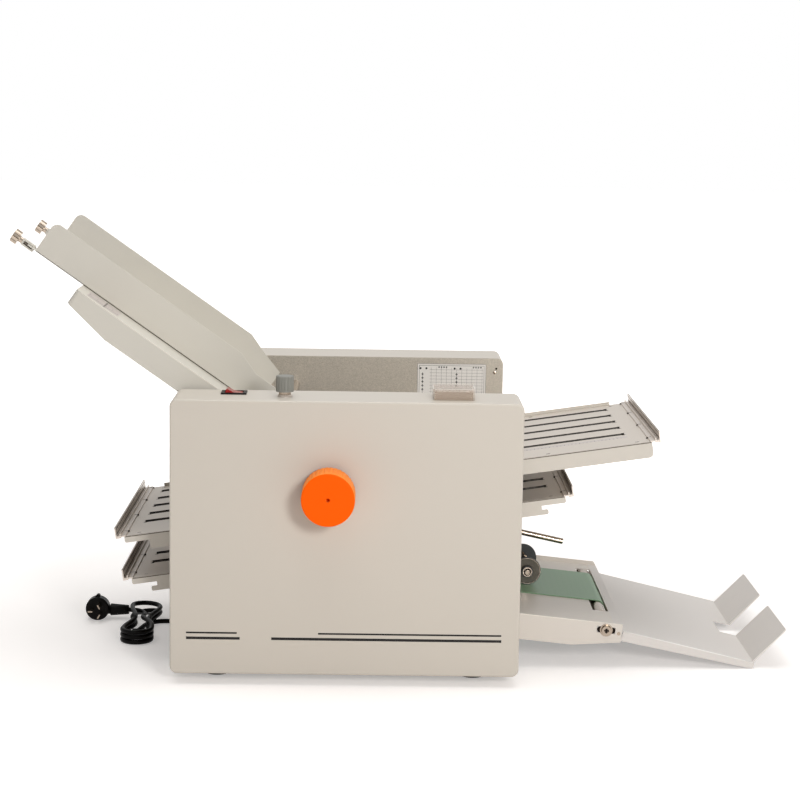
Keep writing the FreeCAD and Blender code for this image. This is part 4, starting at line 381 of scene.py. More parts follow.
@dataclass
class Piece:
    """One visible piece that is built in bmesh and then rides on a CAD body."""

    name: str
    finish: Finish
    body: str
    axes: Matrix = field(default_factory=lambda: Matrix.Identity(4))

    def __post_init__(self) -> None:
        """Starts the piece's empty mesh."""
        self.mesh = bmesh.new()

    def block(self, low: Point, high: Point) -> None:
        """Adds a box.

        Args:
            low: its low corner, in millimetres in the piece's own axes.
            high: its high corner.
        """
        middle = [(a + b) / 2 * MM for a, b in zip(low, high)]
        size = [(b - a) * MM for a, b in zip(low, high)]
        place = Matrix.Translation(middle) @ Matrix.Diagonal((*size, 1.0))
        bmesh.ops.create_cube(self.mesh, size=1.0, matrix=place)

    def disc(self, centre: Point, radius: float, depth: float, axis: Axis = Axis.Z,
             far_radius: float = 0.0, segments: int = 24) -> None:
        """Adds a round slab, centred on a point, with its flat faces square to the axis.

        Args:
            centre: its middle, in millimetres.
            radius: radius in millimetres at the axis's low end.
            depth: thickness in millimetres.
            axis: the axis that the slab's faces are square to.
            far_radius: radius at the high end, or 0 for the same.
            segments: number of sides.
        """
        turn = {Axis.X: Matrix.Rotation(math.pi / 2, 4, "Y"),
                Axis.Y: Matrix.Rotation(-math.pi / 2, 4, "X"),
                Axis.Z: Matrix.Identity(4)}[axis]
        place = Matrix.Translation([c * MM for c in centre]) @ turn
        bmesh.ops.create_cone(self.mesh, cap_ends=True, segments=segments, radius1=radius * MM,
                              radius2=(far_radius or radius) * MM, depth=depth * MM, matrix=place)

    def ring(self, centre: Point, inner: float, outer: float, depth: float,
             axis: Axis = Axis.Y) -> None:
        """Adds a flat ring.

        Args:
            centre: its middle, in millimetres.
            inner: radius of its bore in millimetres.
            outer: outer radius in millimetres.
            depth: thickness in millimetres.
            axis: the axis that it runs round, X or Y.
        """
        before = len(self.mesh.verts)
        section = ((inner, -1), (outer, -1), (outer, 1), (inner, 1))
        corners = [self.mesh.verts.new((radius * MM, side * depth / 2 * MM, 0.0))
                   for radius, side in section]
        edges = [self.mesh.edges.new((corners[i], corners[(i + 1) % 4])) for i in range(4)]
        bmesh.ops.spin(self.mesh, geom=corners + edges, cent=(0.0, 0.0, 0.0), axis=(0, 1, 0),
                       angle=math.tau, steps=36, use_merge=True)
        bmesh.ops.recalc_face_normals(self.mesh, faces=self.mesh.faces)
        place = Matrix.Translation([c * MM for c in centre])
        if axis is Axis.X:
            place = place @ Matrix.Rotation(-math.pi / 2, 4, "Z")
        self.move_newest(before, place)

    def move_newest(self, before: int, matrix: Matrix) -> None:
        """Moves the vertices past the first so many by a matrix in metres."""
        self.mesh.verts.ensure_lookup_table()
        bmesh.ops.transform(self.mesh, matrix=matrix, verts=self.mesh.verts[before:])

    def rod(self, start: Point, end: Point, radius: float, segments: int = 10) -> None:
        """Adds a round rod.

        Args:
            start: the middle of one end, in millimetres.
            end: the middle of the other end.
            radius: radius in millimetres.
            segments: number of sides.
        """
        first, last = Vector(start) * MM, Vector(end) * MM
        turn = (last - first).to_track_quat("Z", "Y").to_matrix().to_4x4()
        bmesh.ops.create_cone(self.mesh, cap_ends=True, segments=segments, radius1=radius * MM,
                              radius2=radius * MM, depth=(last - first).length,
                              matrix=Matrix.Translation((first + last) / 2) @ turn)

    def done(self, bevel: float = 0.0, smooth: bool = False) -> bpy.types.Object:
        """Turns the bmesh into the finished object, in the part's frame.

        Args:
            bevel: width in millimetres of the bevel on all edges, or 0 for none.
            smooth: whether faces are shaded smoothly.

        Returns:
            The object that rides on the piece's body.
        """
        if bevel:
            bmesh.ops.bevel(self.mesh, geom=list(self.mesh.edges), offset=bevel * MM, segments=2,
                            profile=0.5, affect="EDGES", material=-1)
        bmesh.ops.transform(self.mesh, matrix=self.axes, verts=self.mesh.verts)
        data = bpy.data.meshes.new(self.name)
        self.mesh.to_mesh(data)
        self.mesh.free()
        if smooth:
            data.polygons.foreach_set("use_smooth", [True] * len(data.polygons))
        data.materials.append(self.finish.build())
        made = bpy.data.objects.new(self.name, data)
        bpy.context.scene.collection.objects.link(made)
        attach(made, self.body)
        LOG.info("made %s with %d faces", self.name, len(data.polygons))
        return made


def dress(frame: Dict[str, object]) -> None:
    """Gives every CAD node the material of its finish.
    """
    nodes = frame["nodes"]
    for finish, names in NODE_FINISHES.items():
        material = finish.build()
        for name in names:
            data = nodes[name].data
            data.materials.clear()
            data.materials.append(material)
    LOG.info("dressed %d CAD nodes", sum(len(names) for names in NODE_FINISHES.values()))


def centre_of(node: str) -> Point:
    """Gives the middle of a CAD node's box in millimetres."""
    low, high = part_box(node)
    return tuple((low + high) / 2 / MM)


@dataclass
class CoverDetails:
    """The prints on the covers: stripes in front, and a blank chart on the rear frame."""

    film: float = 0.06
    # Each stripe's start, end, height and width.
    stripes: Sequence[Tuple[float, float, float, float]] = (
        (20.8, 84.6, 67.3, 2.2), (20.8, 88.3, 60.4, 3.4), (186.7, 417.3, 67.6, 2.2),
        (127.9, 417.5, 60.5, 3.4))
    chart_x: Tuple[float, float] = (315.4, 415.2)
    chart_z: Tuple[float, float] = (290.0, 354.5)
    chart_y: float = 443.5
    # How far film, rules and marks stand off the frame, so that none lies in another's face.
    film_lift: float = 0.15
    rule_lift: float = 0.2
    mark_lift: float = 0.25
    border: float = 0.5
    border_gap: float = 2.6
    rule: float = 0.3
    rows: int = 10
    row_pitch: float = 4.6
    columns: int = 11
    column_pitch: float = 7.4
    # From the chart's edges to its cells: left, right, bottom and top.
    cell_margins: Tuple[float, float, float, float] = (18.0, 4.0, 5.0, 6.0)
    first_row: float = 9.0
    first_column: float = 20.0
    # Places, heights and sizes of the chart's dots, crosses and short bars.
    dots: Sequence[float] = (320.0, 328.5, 369.5, 378.0)
    dot_z: float = 347.5
    dot_radius: float = 1.5
    crosses: Sequence[float] = (323.0, 372.5)
    cross_rows: int = 6
    cross_z: float = 338.5
    cross_pitch: float = 5.6
    bars: Sequence[float] = (346.0, 396.0)
    bar_steps: int = 4
    bar_pitch: float = 3.6
    bar_z: float = 348.4
    screw: Tuple[float, float] = (427.8, 342.6)
    screw_radius: float = 2.2
    hole: Tuple[float, float] = (430.0, 348.1)
    hole_radius: float = 1.5

    def build(self) -> None:
        """Builds the stripes, the chart, the screw, and the painted shade of the hole beside it."""
        stripes = Piece("front_stripes", BLACK_INK, "machine", CORNER)
        for start, end, height, width in self.stripes:
            stripes.block((start, -self.film, height - width / 2), (end, 0.0, height + width / 2))
        stripes.done()
        film = Piece("settings_chart_film", LABEL_FILM, "machine", CORNER)
        self._print(film, self.chart_x, self.chart_z, self.film_lift)
        film.done()
        self._rules()
        self._marks()
        self._frame_screw()

    def _print(self, piece: Piece, x: Tuple[float, float], z: Tuple[float, float],
               lift: float) -> None:
        """Adds a thin print on the rear frame's inner face, a lift in front of it."""
        piece.block((x[0], self.chart_y - lift, z[0]), (x[1], self.chart_y, z[1]))

    def _rules(self) -> None:
        """Builds the chart's double border and its ruled cells."""
        rules = Piece("settings_chart_rules", GREY_INK, "machine", CORNER)
        (left, right), (low, high) = self.chart_x, self.chart_z
        for inset in (0.0, self.border_gap):
            x0, x1, z0, z1 = left + inset, right - inset, low + inset, high - inset
            for z in (z0, z1 - self.border):
                self._print(rules, (x0, x1), (z, z + self.border), self.rule_lift)
            for x in (x0, x1 - self.border):
                self._print(rules, (x, x + self.border), (z0, z1), self.rule_lift)
        near, far, below, above = self.cell_margins
        for row in range(self.rows):
            z = high - self.first_row - self.row_pitch * row
            self._print(rules, (left + near, right - far), (z, z + self.rule), self.rule_lift)
        for column in range(self.columns):
            x = left + self.first_column + self.column_pitch * column
            self._print(rules, (x, x + self.rule), (low + below, high - above), self.rule_lift)
        rules.done()

    def _marks(self) -> None:
        """Builds the chart's plain marks: dots, crosses and short bars."""
        marks = Piece("settings_chart_marks", BLACK_INK, "machine", CORNER)
        for x in self.dots:
            marks.disc((x, self.chart_y - 0.12, self.dot_z), self.dot_radius, 0.3, Axis.Y)
        for x in self.crosses:
            for row in range(self.cross_rows):
                z = self.cross_z - self.cross_pitch * row
                self._print(marks, (x - 1.6, x + 1.6), (z, z + 1.0), self.mark_lift)
                self._print(marks, (x - 0.5, x + 0.5), (z - 1.6, z + 2.6), self.mark_lift)
        for x in self.bars:
            for step in range(self.bar_steps):
                start = x + self.bar_pitch * step
                end = start + self.bar_pitch / 2
                self._print(marks, (start, end), (self.bar_z, self.bar_z + 2.0), self.mark_lift)
        marks.done()

    def _frame_screw(self) -> None:
        """Builds the bright screw, and a dark disc of painted shade for the hole beside the chart.
        """
        screw = Piece("rear_frame_screw", BRIGHT_STEEL, "machine", CORNER)
        screw.disc((self.screw[0], self.chart_y - 1.0, self.screw[1]), self.screw_radius, 2.0,
                   Axis.Y)
        screw.done(0.3, True)
        hole = Piece("rear_frame_hole_shade", HOLLOW, "machine", CORNER)
        hole.disc((self.hole[0], self.chart_y - 0.05, self.hole[1]), self.hole_radius, 0.1, Axis.Y)
        hole.done()


@dataclass
class PlateDetails:
    """What is seen on one buckle plate: seams, slots, screws, far rail, end bar and scale."""

    name: str
    side: int
    x: float
    z: float
    length: float
    margin: float
    scale: bool = False
    half: float = 167.5
    tilt: float = -8.5
    slots: int = 5
    slot_middle: float = 22.0
    slot_pitch: float = 53.0
    slot_start: float = 42.0
    # From a slot's middle to where its band of painted shade begins, and to where that band ends at
    # the tip.
    slot_edge: float = 5.95
    tip_edge: float = 8.0
    # The dark strip of painted shade under the sheet: where it starts and ends across, and its
    # faces.
    shade_strip_y: Tuple[float, float] = (-6.0, 24.0)
    shade_strip_z: Tuple[float, float] = (-4.15, -4.05)
    screw_from_end: float = 18.0
    second_screw: float = 134.5
    long_plate: float = 350.0
    screw_y: float = 154.0
    screw_radius: float = 3.0
    screw_slot: Tuple[float, float] = (2.2, 0.45)
    rivets: Sequence[float] = (-139, -34, 71, 160)
    rivet_half: float = 0.7
    rail_wall: float = 1.2
    rail_height: float = 4.6
    # From the plate's end to the end bar's outer face, and how far the bar passes each side.
    bar_reach: float = 11.0
    bar_side: float = 1.5
    lip_z: Tuple[float, float] = (12.2, 13.1)
    grooves: Sequence[float] = (9.8, 3.4)
    groove: float = 0.8
    # The scale's edges across the plate, its ends from both ends of the plate, and its ticks.
    scale_y: Tuple[float, float] = (-113.0, -101.0)
    scale_ends: Tuple[float, float] = (20.0, 25.0)
    tick_pitch: float = 5.0
    tick_half: float = 0.3

    def piece(self, part: str, finish: Finish) -> Piece:
        """Starts one of the plate's pieces, in the plate's own axes."""
        return Piece(self.name + "_" + part, finish, self.name, sloping(self.x, self.z, self.tilt))

    def span(self, start: float, end: float) -> Tuple[float, float]:
        """Orders two places along the plate, mirrored for a plate on the left."""
        return tuple(sorted((self.side * start, self.side * end)))

    def build(self) -> None:
        """Builds all of the plate's pieces."""
        self._seams()
        self._slots()
        self._screws()
        self._rail()
        self._bar()
        if self.scale:
            self._scale()

    def _seams(self) -> None:
        """Builds the dark line along each bend, where the sheet meets its painted flange: a joint,
        with painted shade in it.
        """
        seam = self.piece("seams", PAINT_SHADE)
        low, high = self.span(18, self.length - 1)
        for y in (-self.half + 0.7, self.half - 1.6):
            seam.block((low, y, 0.0), (high, y + 0.9, 0.02))
        seam.block((low, -self.half - 0.05, -1.3), (high, -self.half, -0.3))
        seam.done()

    def _slots(self) -> None:
        """Builds painted shade in each slot, along its edges and in the relief at its outer end."""
        shade_strip = self.piece("slot_shade_strips", HOLLOW)
        edges = self.piece("slot_edge_shade", HOLLOW)
        end = self.length - self.margin
        low, high = self.span(self.slot_start, end + 3)
        tip = self.span(end - 3.5, end + 1.2)
        reach = self.span(self.slot_start, end)
        edge = self.slot_edge
        # The band of painted shade is wider on the left plates.
        shade_band = 6.5 if self.side > 0 else 9.0
        for index in range(self.slots):
            y = self.slot_middle + (index - self.slots // 2) * self.slot_pitch
            shade_strip.block((low, y + self.shade_strip_y[0], self.shade_strip_z[0]),
                        (high, y + self.shade_strip_y[1], self.shade_strip_z[1]))
            edges.block((reach[0], y + edge, -0.95), (reach[1], y + shade_band, 0.02))
            edges.block((tip[0], y + edge, -0.9), (tip[1], y + self.tip_edge, 0.03))
            edges.block((tip[0], y - self.tip_edge, -0.9), (tip[1], y - edge, 0.03))
        shade_strip.done()
        edges.done()

    def _screws(self) -> None:
        """Builds the flush screws along both edges and the marks where the end bar is riveted."""
        heads = self.piece("edge_screws", BRIGHT_STEEL)
        # The screws' slots are painted shade: flat dark films on the heads.
        slots = self.piece("screw_slot_shade", HOLLOW)
        marks = self.piece("bar_rivets", HOLLOW)
        places = [self.length - self.screw_from_end]
        if self.length > self.long_plate:
            places.append(self.length - self.second_screw)
        along, across = self.screw_slot
        for place in places:
            for y in (-self.screw_y, self.screw_y):
                x = self.side * place
                heads.disc((x, y, -0.29), self.screw_radius, 0.6)
                slots.block((x - along, y - across, 0.0), (x + along, y + across, 0.03))
        low, high = self.span(self.length - 4, self.length + 2.5)
        for y in self.rivets:
            marks.block((low, y - self.rivet_half, 0.0), (high, y + self.rivet_half, 1.62))
        for piece in (heads, slots, marks):
            piece.done()

    def _rail(self) -> None:
        """Builds the low upturned edge along the plate's far side."""
        rail = self.piece("far_rail", PLATE_STEEL)
        low, high = self.span(16, self.length - 18)
        rail.block((low, self.half - self.rail_wall, -0.1), (high, self.half, self.rail_height))
        rail.done(0.3)

    def _bar(self) -> None:
        """Builds the end bar's bright lip and its grooves, drawn as dark lines of painted shade."""
        reach = self.length + self.bar_reach
        lip = self.piece("bar_lip", BRIGHT_STEEL)
        low, high = self.span(reach - 1.6, reach + 0.1)
        side = self.half + self.bar_side
        lip.block((low, -side, self.lip_z[0]), (high, side, self.lip_z[1]))
        lip.done(0.2)
        grooves = self.piece("bar_groove_shade", HOLLOW)
        low, high = self.span(reach - 1.56, reach - 1.5)
        for z in self.grooves:
            grooves.block((low, 0.1 - side, z), (high, side - 0.1, z + self.groove))
        grooves.done()

    def _scale(self) -> None:
        """Builds the scale beside the nearest slot: a pale film with ticks at one pitch."""
        film = self.piece("scale_film", SCALE_FILM)
        (start, end), (near, far) = self.scale_ends, self.scale_y
        film.block((start, near, 0.0), (self.length - end, far, 0.05))
        film.done()
        ticks = self.piece("scale_ticks", GREY_INK)
        for step in range(int((self.length - 50) / self.tick_pitch)):
            x = start + 4.0 + self.tick_pitch * step
            reach = 7.0 if step % 2 else 4.5
            ticks.block((x - self.tick_half, near + 1.0, 0.0),
                        (x + self.tick_half, near + reach, 0.08))
        ticks.done()


PLATES = (PlateDetails("upper_right_plate", 1, 199.72, 239.45, 418.0, 26.5, True),
          PlateDetails("lower_right_plate", 1, 208.0, 184.06, 298.0, 18.0),
          PlateDetails("upper_left_plate", -1, 204.4, 208.1, 276.0, 18.0),
          PlateDetails("lower_left_plate", -1, 212.7, 152.7, 275.0, 18.0))


@dataclass
class FeedDetails:
    """What is seen on the feed table: its scale, its bright bend and the guides' lower lines."""

    length: float = 278.0
    half: float = 168.0
    x: float = -127.8
    z: float = 488.1
    tilt: float = 34.9
    guide_face: float = 108.5
    # The scale's ends along the table, its edges across it, and its ticks.
    scale_x: Tuple[float, float] = (14.0, 62.0)
    scale_y: Tuple[float, float] = (-158.0, -116.0)
    ticks: int = 16
    tick_pitch: float = 2.9
    tick: float = 0.5
    # The thread that shows in each guide's clamping block, drawn dark as painted shade in its
    # pocket.
    thread_x: float = -94.0
    thread_y: float = 98.5
    threads: int = 9
    thread_pitch: float = 1.4
    thread_radii: Tuple[float, float] = (2.62, 2.95)

    def build(self) -> None:
        """Builds the table's pieces and those on the two guides."""
        axes = sloping(self.x, self.z, self.tilt)
        # A bead along the table's near bend, drawn in lighter paint: a painted highlight.
        bend = Piece("feed_table_bend", PAINT_EDGE, "machine", axes)
        near = -self.half + 0.75
        bend.rod((6.5, near, -0.6), (self.length, near, -0.6), 0.8)
        bend.done(smooth=True)
        film = Piece("feed_scale_film", SCALE_FILM, "machine", axes)
        (start, end), (low, high) = self.scale_x, self.scale_y
        film.block((start, low, 0.0), (end, high, 0.05))
        film.done()
        ticks = Piece("feed_scale_ticks", GREY_INK, "machine", axes)
        for step in range(self.ticks):
            x = start + 2.0 + self.tick_pitch * step
            reach = 16.0 if step % 4 else 26.0
            ticks.block((x, low + 2.0, 0.0), (x + self.tick, low + reach, 0.08))
        middle = (start + end) / 2 + 2.0
        ticks.block((middle - 1.0, low - 1.0, 0.0), (middle + 1.0, high, 0.1))
        ticks.done()
        # Painted shadow along the foot of the near guide, where it stands on the table.
        line = Piece("near_guide_shadow_gap", PAINT_SHADE, "near_side_guide", axes)
        line.block((-75, -self.guide_face - 0.06, 0.3), (self.length, -self.guide_face, 1.3))
        line.done()
        # Dark threads: painted shade in the pocket of each guide's clamping block.
        for name, y in (("near", -self.thread_y), ("far", self.thread_y)):
            thread = Piece(name + "_guide_thread", HOLLOW, name + "_side_guide", axes)
            for step in range(self.threads):
                x = self.thread_x + self.thread_pitch * step
                thread.ring((x, y, 0.0), *self.thread_radii, self.thread_pitch / 2, Axis.X)
            thread.done()


@dataclass
class DeliveryDetails:
    """What is seen on the belt table and the tray: painted highlights on bends, painted shade in
    windows, wheel faces and axle heads.
    """

    x: float = 247.0
    z: float = 92.5
    tilt: float = 5.7
    half: float = 171.5
    # Length of the belt table, and the place of its last axle along and below its top.
    length: float = 337.0
    axle_x: float = 316.2
    axle_z: float = -9.5
    slot_half: float = 8.0
    slot_radius: float = 4.2
    washer: Tuple[float, float] = (6.0, 8.4)
    # From the flange to the axle head's face, and the two arms of the cross in it.
    head: float = 5.0
    cross: Tuple[float, float] = (3.4, 0.7)
    # The dark sheet under the roller's window: painted shade that makes the window read dark.
    window_low: Point = (303.0, -107.0, -22.0)
    window_high: Point = (326.0, 139.0, -21.0)
    # Origin and slope of the tray, its length and where its near bend lies.
    tray: Tuple[float, float, float] = (577.10, 46.89, 13.2247)
    tray_length: float = 184.0
    tray_bend: Tuple[float, float] = (-165.4, 3.5)
    # From the middle plane to the near press wheel's seat, and the rings and bolt on the wheel.
    wheel_y: float = -6.0
    wheel_face: Tuple[float, float] = (8.05, 17.2)
    wheel_rim: Tuple[float, float] = (17.5, 18.2)
    wheel_hub: Tuple[float, float] = (4.6, 6.6)
    hub_gap: Tuple[float, float] = (3.6, 5.2)
    bolt_radius: float = 3.8

    def build(self) -> None:
        """Builds all of the delivery's pieces."""
        axes = sloping(self.x, self.z, self.tilt)
        near = -self.half + 0.55
        # A bead along the belt table's near bend, drawn in lighter paint: a painted highlight.
        bend = Piece("belt_table_bend", PAINT_EDGE, "machine", axes)
        bend.rod((14, near, -0.45), (self.length, near, -0.45), 0.7)
        bend.done(smooth=True)
        # A dark sheet under the roller's window: painted shade.
        inside = Piece("roller_window_shade_sheet", HOLLOW, "machine", axes)
        inside.block(self.window_low, self.window_high)
        inside.done()
        skin = Piece("belt_table_end_skin", PALE_PAINT, "machine", axes)
        skin.block((325.4, -self.half + 1.5, 0.0), (self.length, self.half - 1.5, 0.05))
        skin.done()
        self._axle_head(axes)
        self._wheels()
        y, z = self.tray_bend
        # A bead along the tray's near bend, drawn in lighter paint: a painted highlight.
        bend = Piece("tray_bend", PALE_EDGE, "delivery_tray", sloping(*self.tray))
        bend.rod((6, y, z), (self.tray_length, y, z), 0.75)
        bend.done(smooth=True)

    def _axle_head(self, axes: Matrix) -> None:
        """Builds painted shade at the ends of the axle's slot and in its cross slot, and its
        washer.

        Args:
            axes: the belt table's axes.
        """
        x, z = self.axle_x, self.axle_z
        ends = Piece("axle_slot_end_shade", HOLLOW, "machine", axes)
        for side in (-self.slot_half, self.slot_half):
            ends.disc((x + side, -self.half - 0.03, z), self.slot_radius, 0.08, Axis.Y)
        ends.done()
        washer = Piece("axle_washer", BRIGHT_STEEL, "machine", axes)
        washer.ring((x, -self.half - 0.5, z), *self.washer, 0.9)
        washer.done(0.15, True)
        cross = Piece("axle_cross_slot_shade", HOLLOW, "machine", axes)
        face = -self.half - self.head - 0.02
        for wide, high in (self.cross, self.cross[::-1]):
            cross.block((x - wide, face, z - high), (x + wide, face + 0.1, z + high))
        cross.done()

    def _wheels(self) -> None:
        """Builds the near press wheel's face, its bright rim, its bolt and painted shade in the gap
        round it.
        """
        x, _, z = centre_of("press_wheels")
        near = MIDDLE / MM + self.wheel_y
        face = Piece("press_wheel_face", WHEEL_FACE, "press_wheels")
        face.ring((x, near - 2.56, z), *self.wheel_face, 0.12)
        face.done()
        rim = Piece("press_wheel_rim", BRIGHT_STEEL, "press_wheels")
        rim.ring((x, near - 2.6, z), *self.wheel_rim, 0.3)
        rim.ring((x, near - 9.2, z), *self.wheel_hub, 0.5)
        rim.disc((x, near - 10.2, z), self.bolt_radius, 2.4, Axis.Y, segments=6)
        rim.done(0.1)
        gap = Piece("press_wheel_hub_gap_shade", HOLLOW, "press_wheels")
        gap.ring((x, near - 9.48, z), *self.hub_gap, 0.1)
        gap.done()


@dataclass
class ControlDetails:
    """What is seen round the controls: the speed knob's collar and the counter's parts."""

    speed: Tuple[float, float] = (141.0, 40.0)
    serrations: int = 18
    serration_circle: float = 7.4
    serration_radius: float = 1.2
    washer_radius: float = 9.2
    counter: Tuple[float, float] = (353.0, 46.0)
    # The counter's inner block and one drum, from the counter's middle and the desk.
    face_low: Point = (-23.6, -20.5, 363.1)
    face_high: Point = (23.6, -14.0, 373.0)
    drums: int = 6
    drum_pitch: float = 7.0
    drum_place: Tuple[float, float] = (-4.0, 368.0)
    drum_radius: float = 4.6
    # The grey plate of painted shade in the gap beside each drum.
    gap_low: Point = (-3.7, -8.0, 363.4)
    gap_high: Point = (-3.3, 0.0, 371.6)
    # The painted highlights on the housing's upper edges: half lengths and places in X and Y, and
    # their half width.
    edge_x: Tuple[float, float] = (24.0, 25.7)
    edge_y: Tuple[float, float] = (21.0, 22.7)
    edge_half: float = 0.3
    housing_top: float = 377.0

    def build(self) -> None:
        """Builds the controls' pieces."""
        self._speed_collar()
        self._counter()

    def _speed_collar(self) -> None:
        """Builds the serrated bright collar under the speed knob."""
        collar = Piece("speed_nut_collar", ALUMINIUM, "machine", CORNER)
        x, y = self.speed
        for step in range(self.serrations):
            angle = math.tau * step / self.serrations
            collar.disc((x + self.serration_circle * math.cos(angle),
                         y + self.serration_circle * math.sin(angle), 364.2),
                        self.serration_radius, 2.4, segments=8)
        collar.disc((x, y, 363.4), self.washer_radius, 0.8)
        collar.done()

    def _counter(self) -> None:
        """Builds the counter's mechanism inside its clear housing, and painted highlights on its
        upper edges.
        """
        x, y = self.counter
        counter = CORNER @ Matrix.Translation((x * MM, y * MM, 0.0))
        face = Piece("counter_face", COUNTER_FACE, "machine", counter)
        face.block(self.face_low, self.face_high)
        face.done(0.4)
        drums = Piece("counter_drums", LABEL_FILM, "machine", counter)
        # The plates between the drums are painted shade in the gaps.
        marks = Piece("counter_drum_gap_shade", GREY_INK, "machine", counter)
        for step in range(self.drums):
            middle = (step - (self.drums - 1) / 2) * self.drum_pitch
            drums.disc((middle, *self.drum_place), self.drum_radius, 5.8, Axis.X)
            marks.block((middle + self.gap_low[0], *self.gap_low[1:]),
                        (middle + self.gap_high[0], *self.gap_high[1:]))
        drums.done()
        marks.done()
        # Pale strips along the clear housing's upper edges: painted highlights.
        edge = Piece("counter_edge_highlights", CLEAR_EDGE, "machine", counter)
        low, high, half = self.housing_top - 0.4, self.housing_top + 0.1, self.edge_half
        (long_x, place_x), (long_y, place_y) = self.edge_x, self.edge_y
        for side in (-1, 1):
            x, y = side * place_x, side * place_y
            edge.block((-long_x, y - half, low), (long_x, y + half, high))
            edge.block((x - half, -long_y, low), (x + half, long_y, high))
        edge.done()


@dataclass
class PlugDetails:
    """What is seen on the plug: its bright pins, its grip nub and the moulded neck sleeve."""

    x: float = -132.5
    y: float = 324.0
    z: float = 16.8
    circle: float = 7.9
    # Each pin's place round the face, and how far it is turned there, in degrees.
    pins: Sequence[Tuple[float, float]] = ((180, 0), (60, -60), (-60, 60))
    pin_low: Point = (-3.3, -32.2, -0.95)
    pin_high: Point = (3.3, -14.9, 0.95)
    grip: Point = (0.0, -4.0, 16.2)
    grip_radii: Tuple[float, float] = (3.4, 2.6)
    sleeve: Point = (30.0, 0.0, -4.0)
    sleeve_radii: Tuple[float, float] = (8.6, 6.6)

    def build(self) -> None:
        """Builds the plug's pieces."""
        centre = Matrix.Translation(from_corner(self.x, self.y, self.z))
        pins = Piece("plug_pins", BRIGHT_STEEL, "machine", centre)
        for bearing, turn in self.pins:
            angle = math.radians(bearing)
            place = Vector((math.cos(angle), 0.0, math.sin(angle))) * self.circle * MM
            before = len(pins.mesh.verts)
            pins.block(self.pin_low, self.pin_high)
            pins.move_newest(before, Matrix.Translation(place)
                             @ Matrix.Rotation(-math.radians(turn), 4, "Y"))
        pins.done(0.3)
        body = Piece("plug_grip", CORD_PVC, "machine", centre)
        body.disc(self.grip, self.grip_radii[0], 14, Axis.Y, far_radius=self.grip_radii[1])
        body.disc(self.sleeve, self.sleeve_radii[0], 26, Axis.X, far_radius=self.sleeve_radii[1])
        body.done(0.8, True)


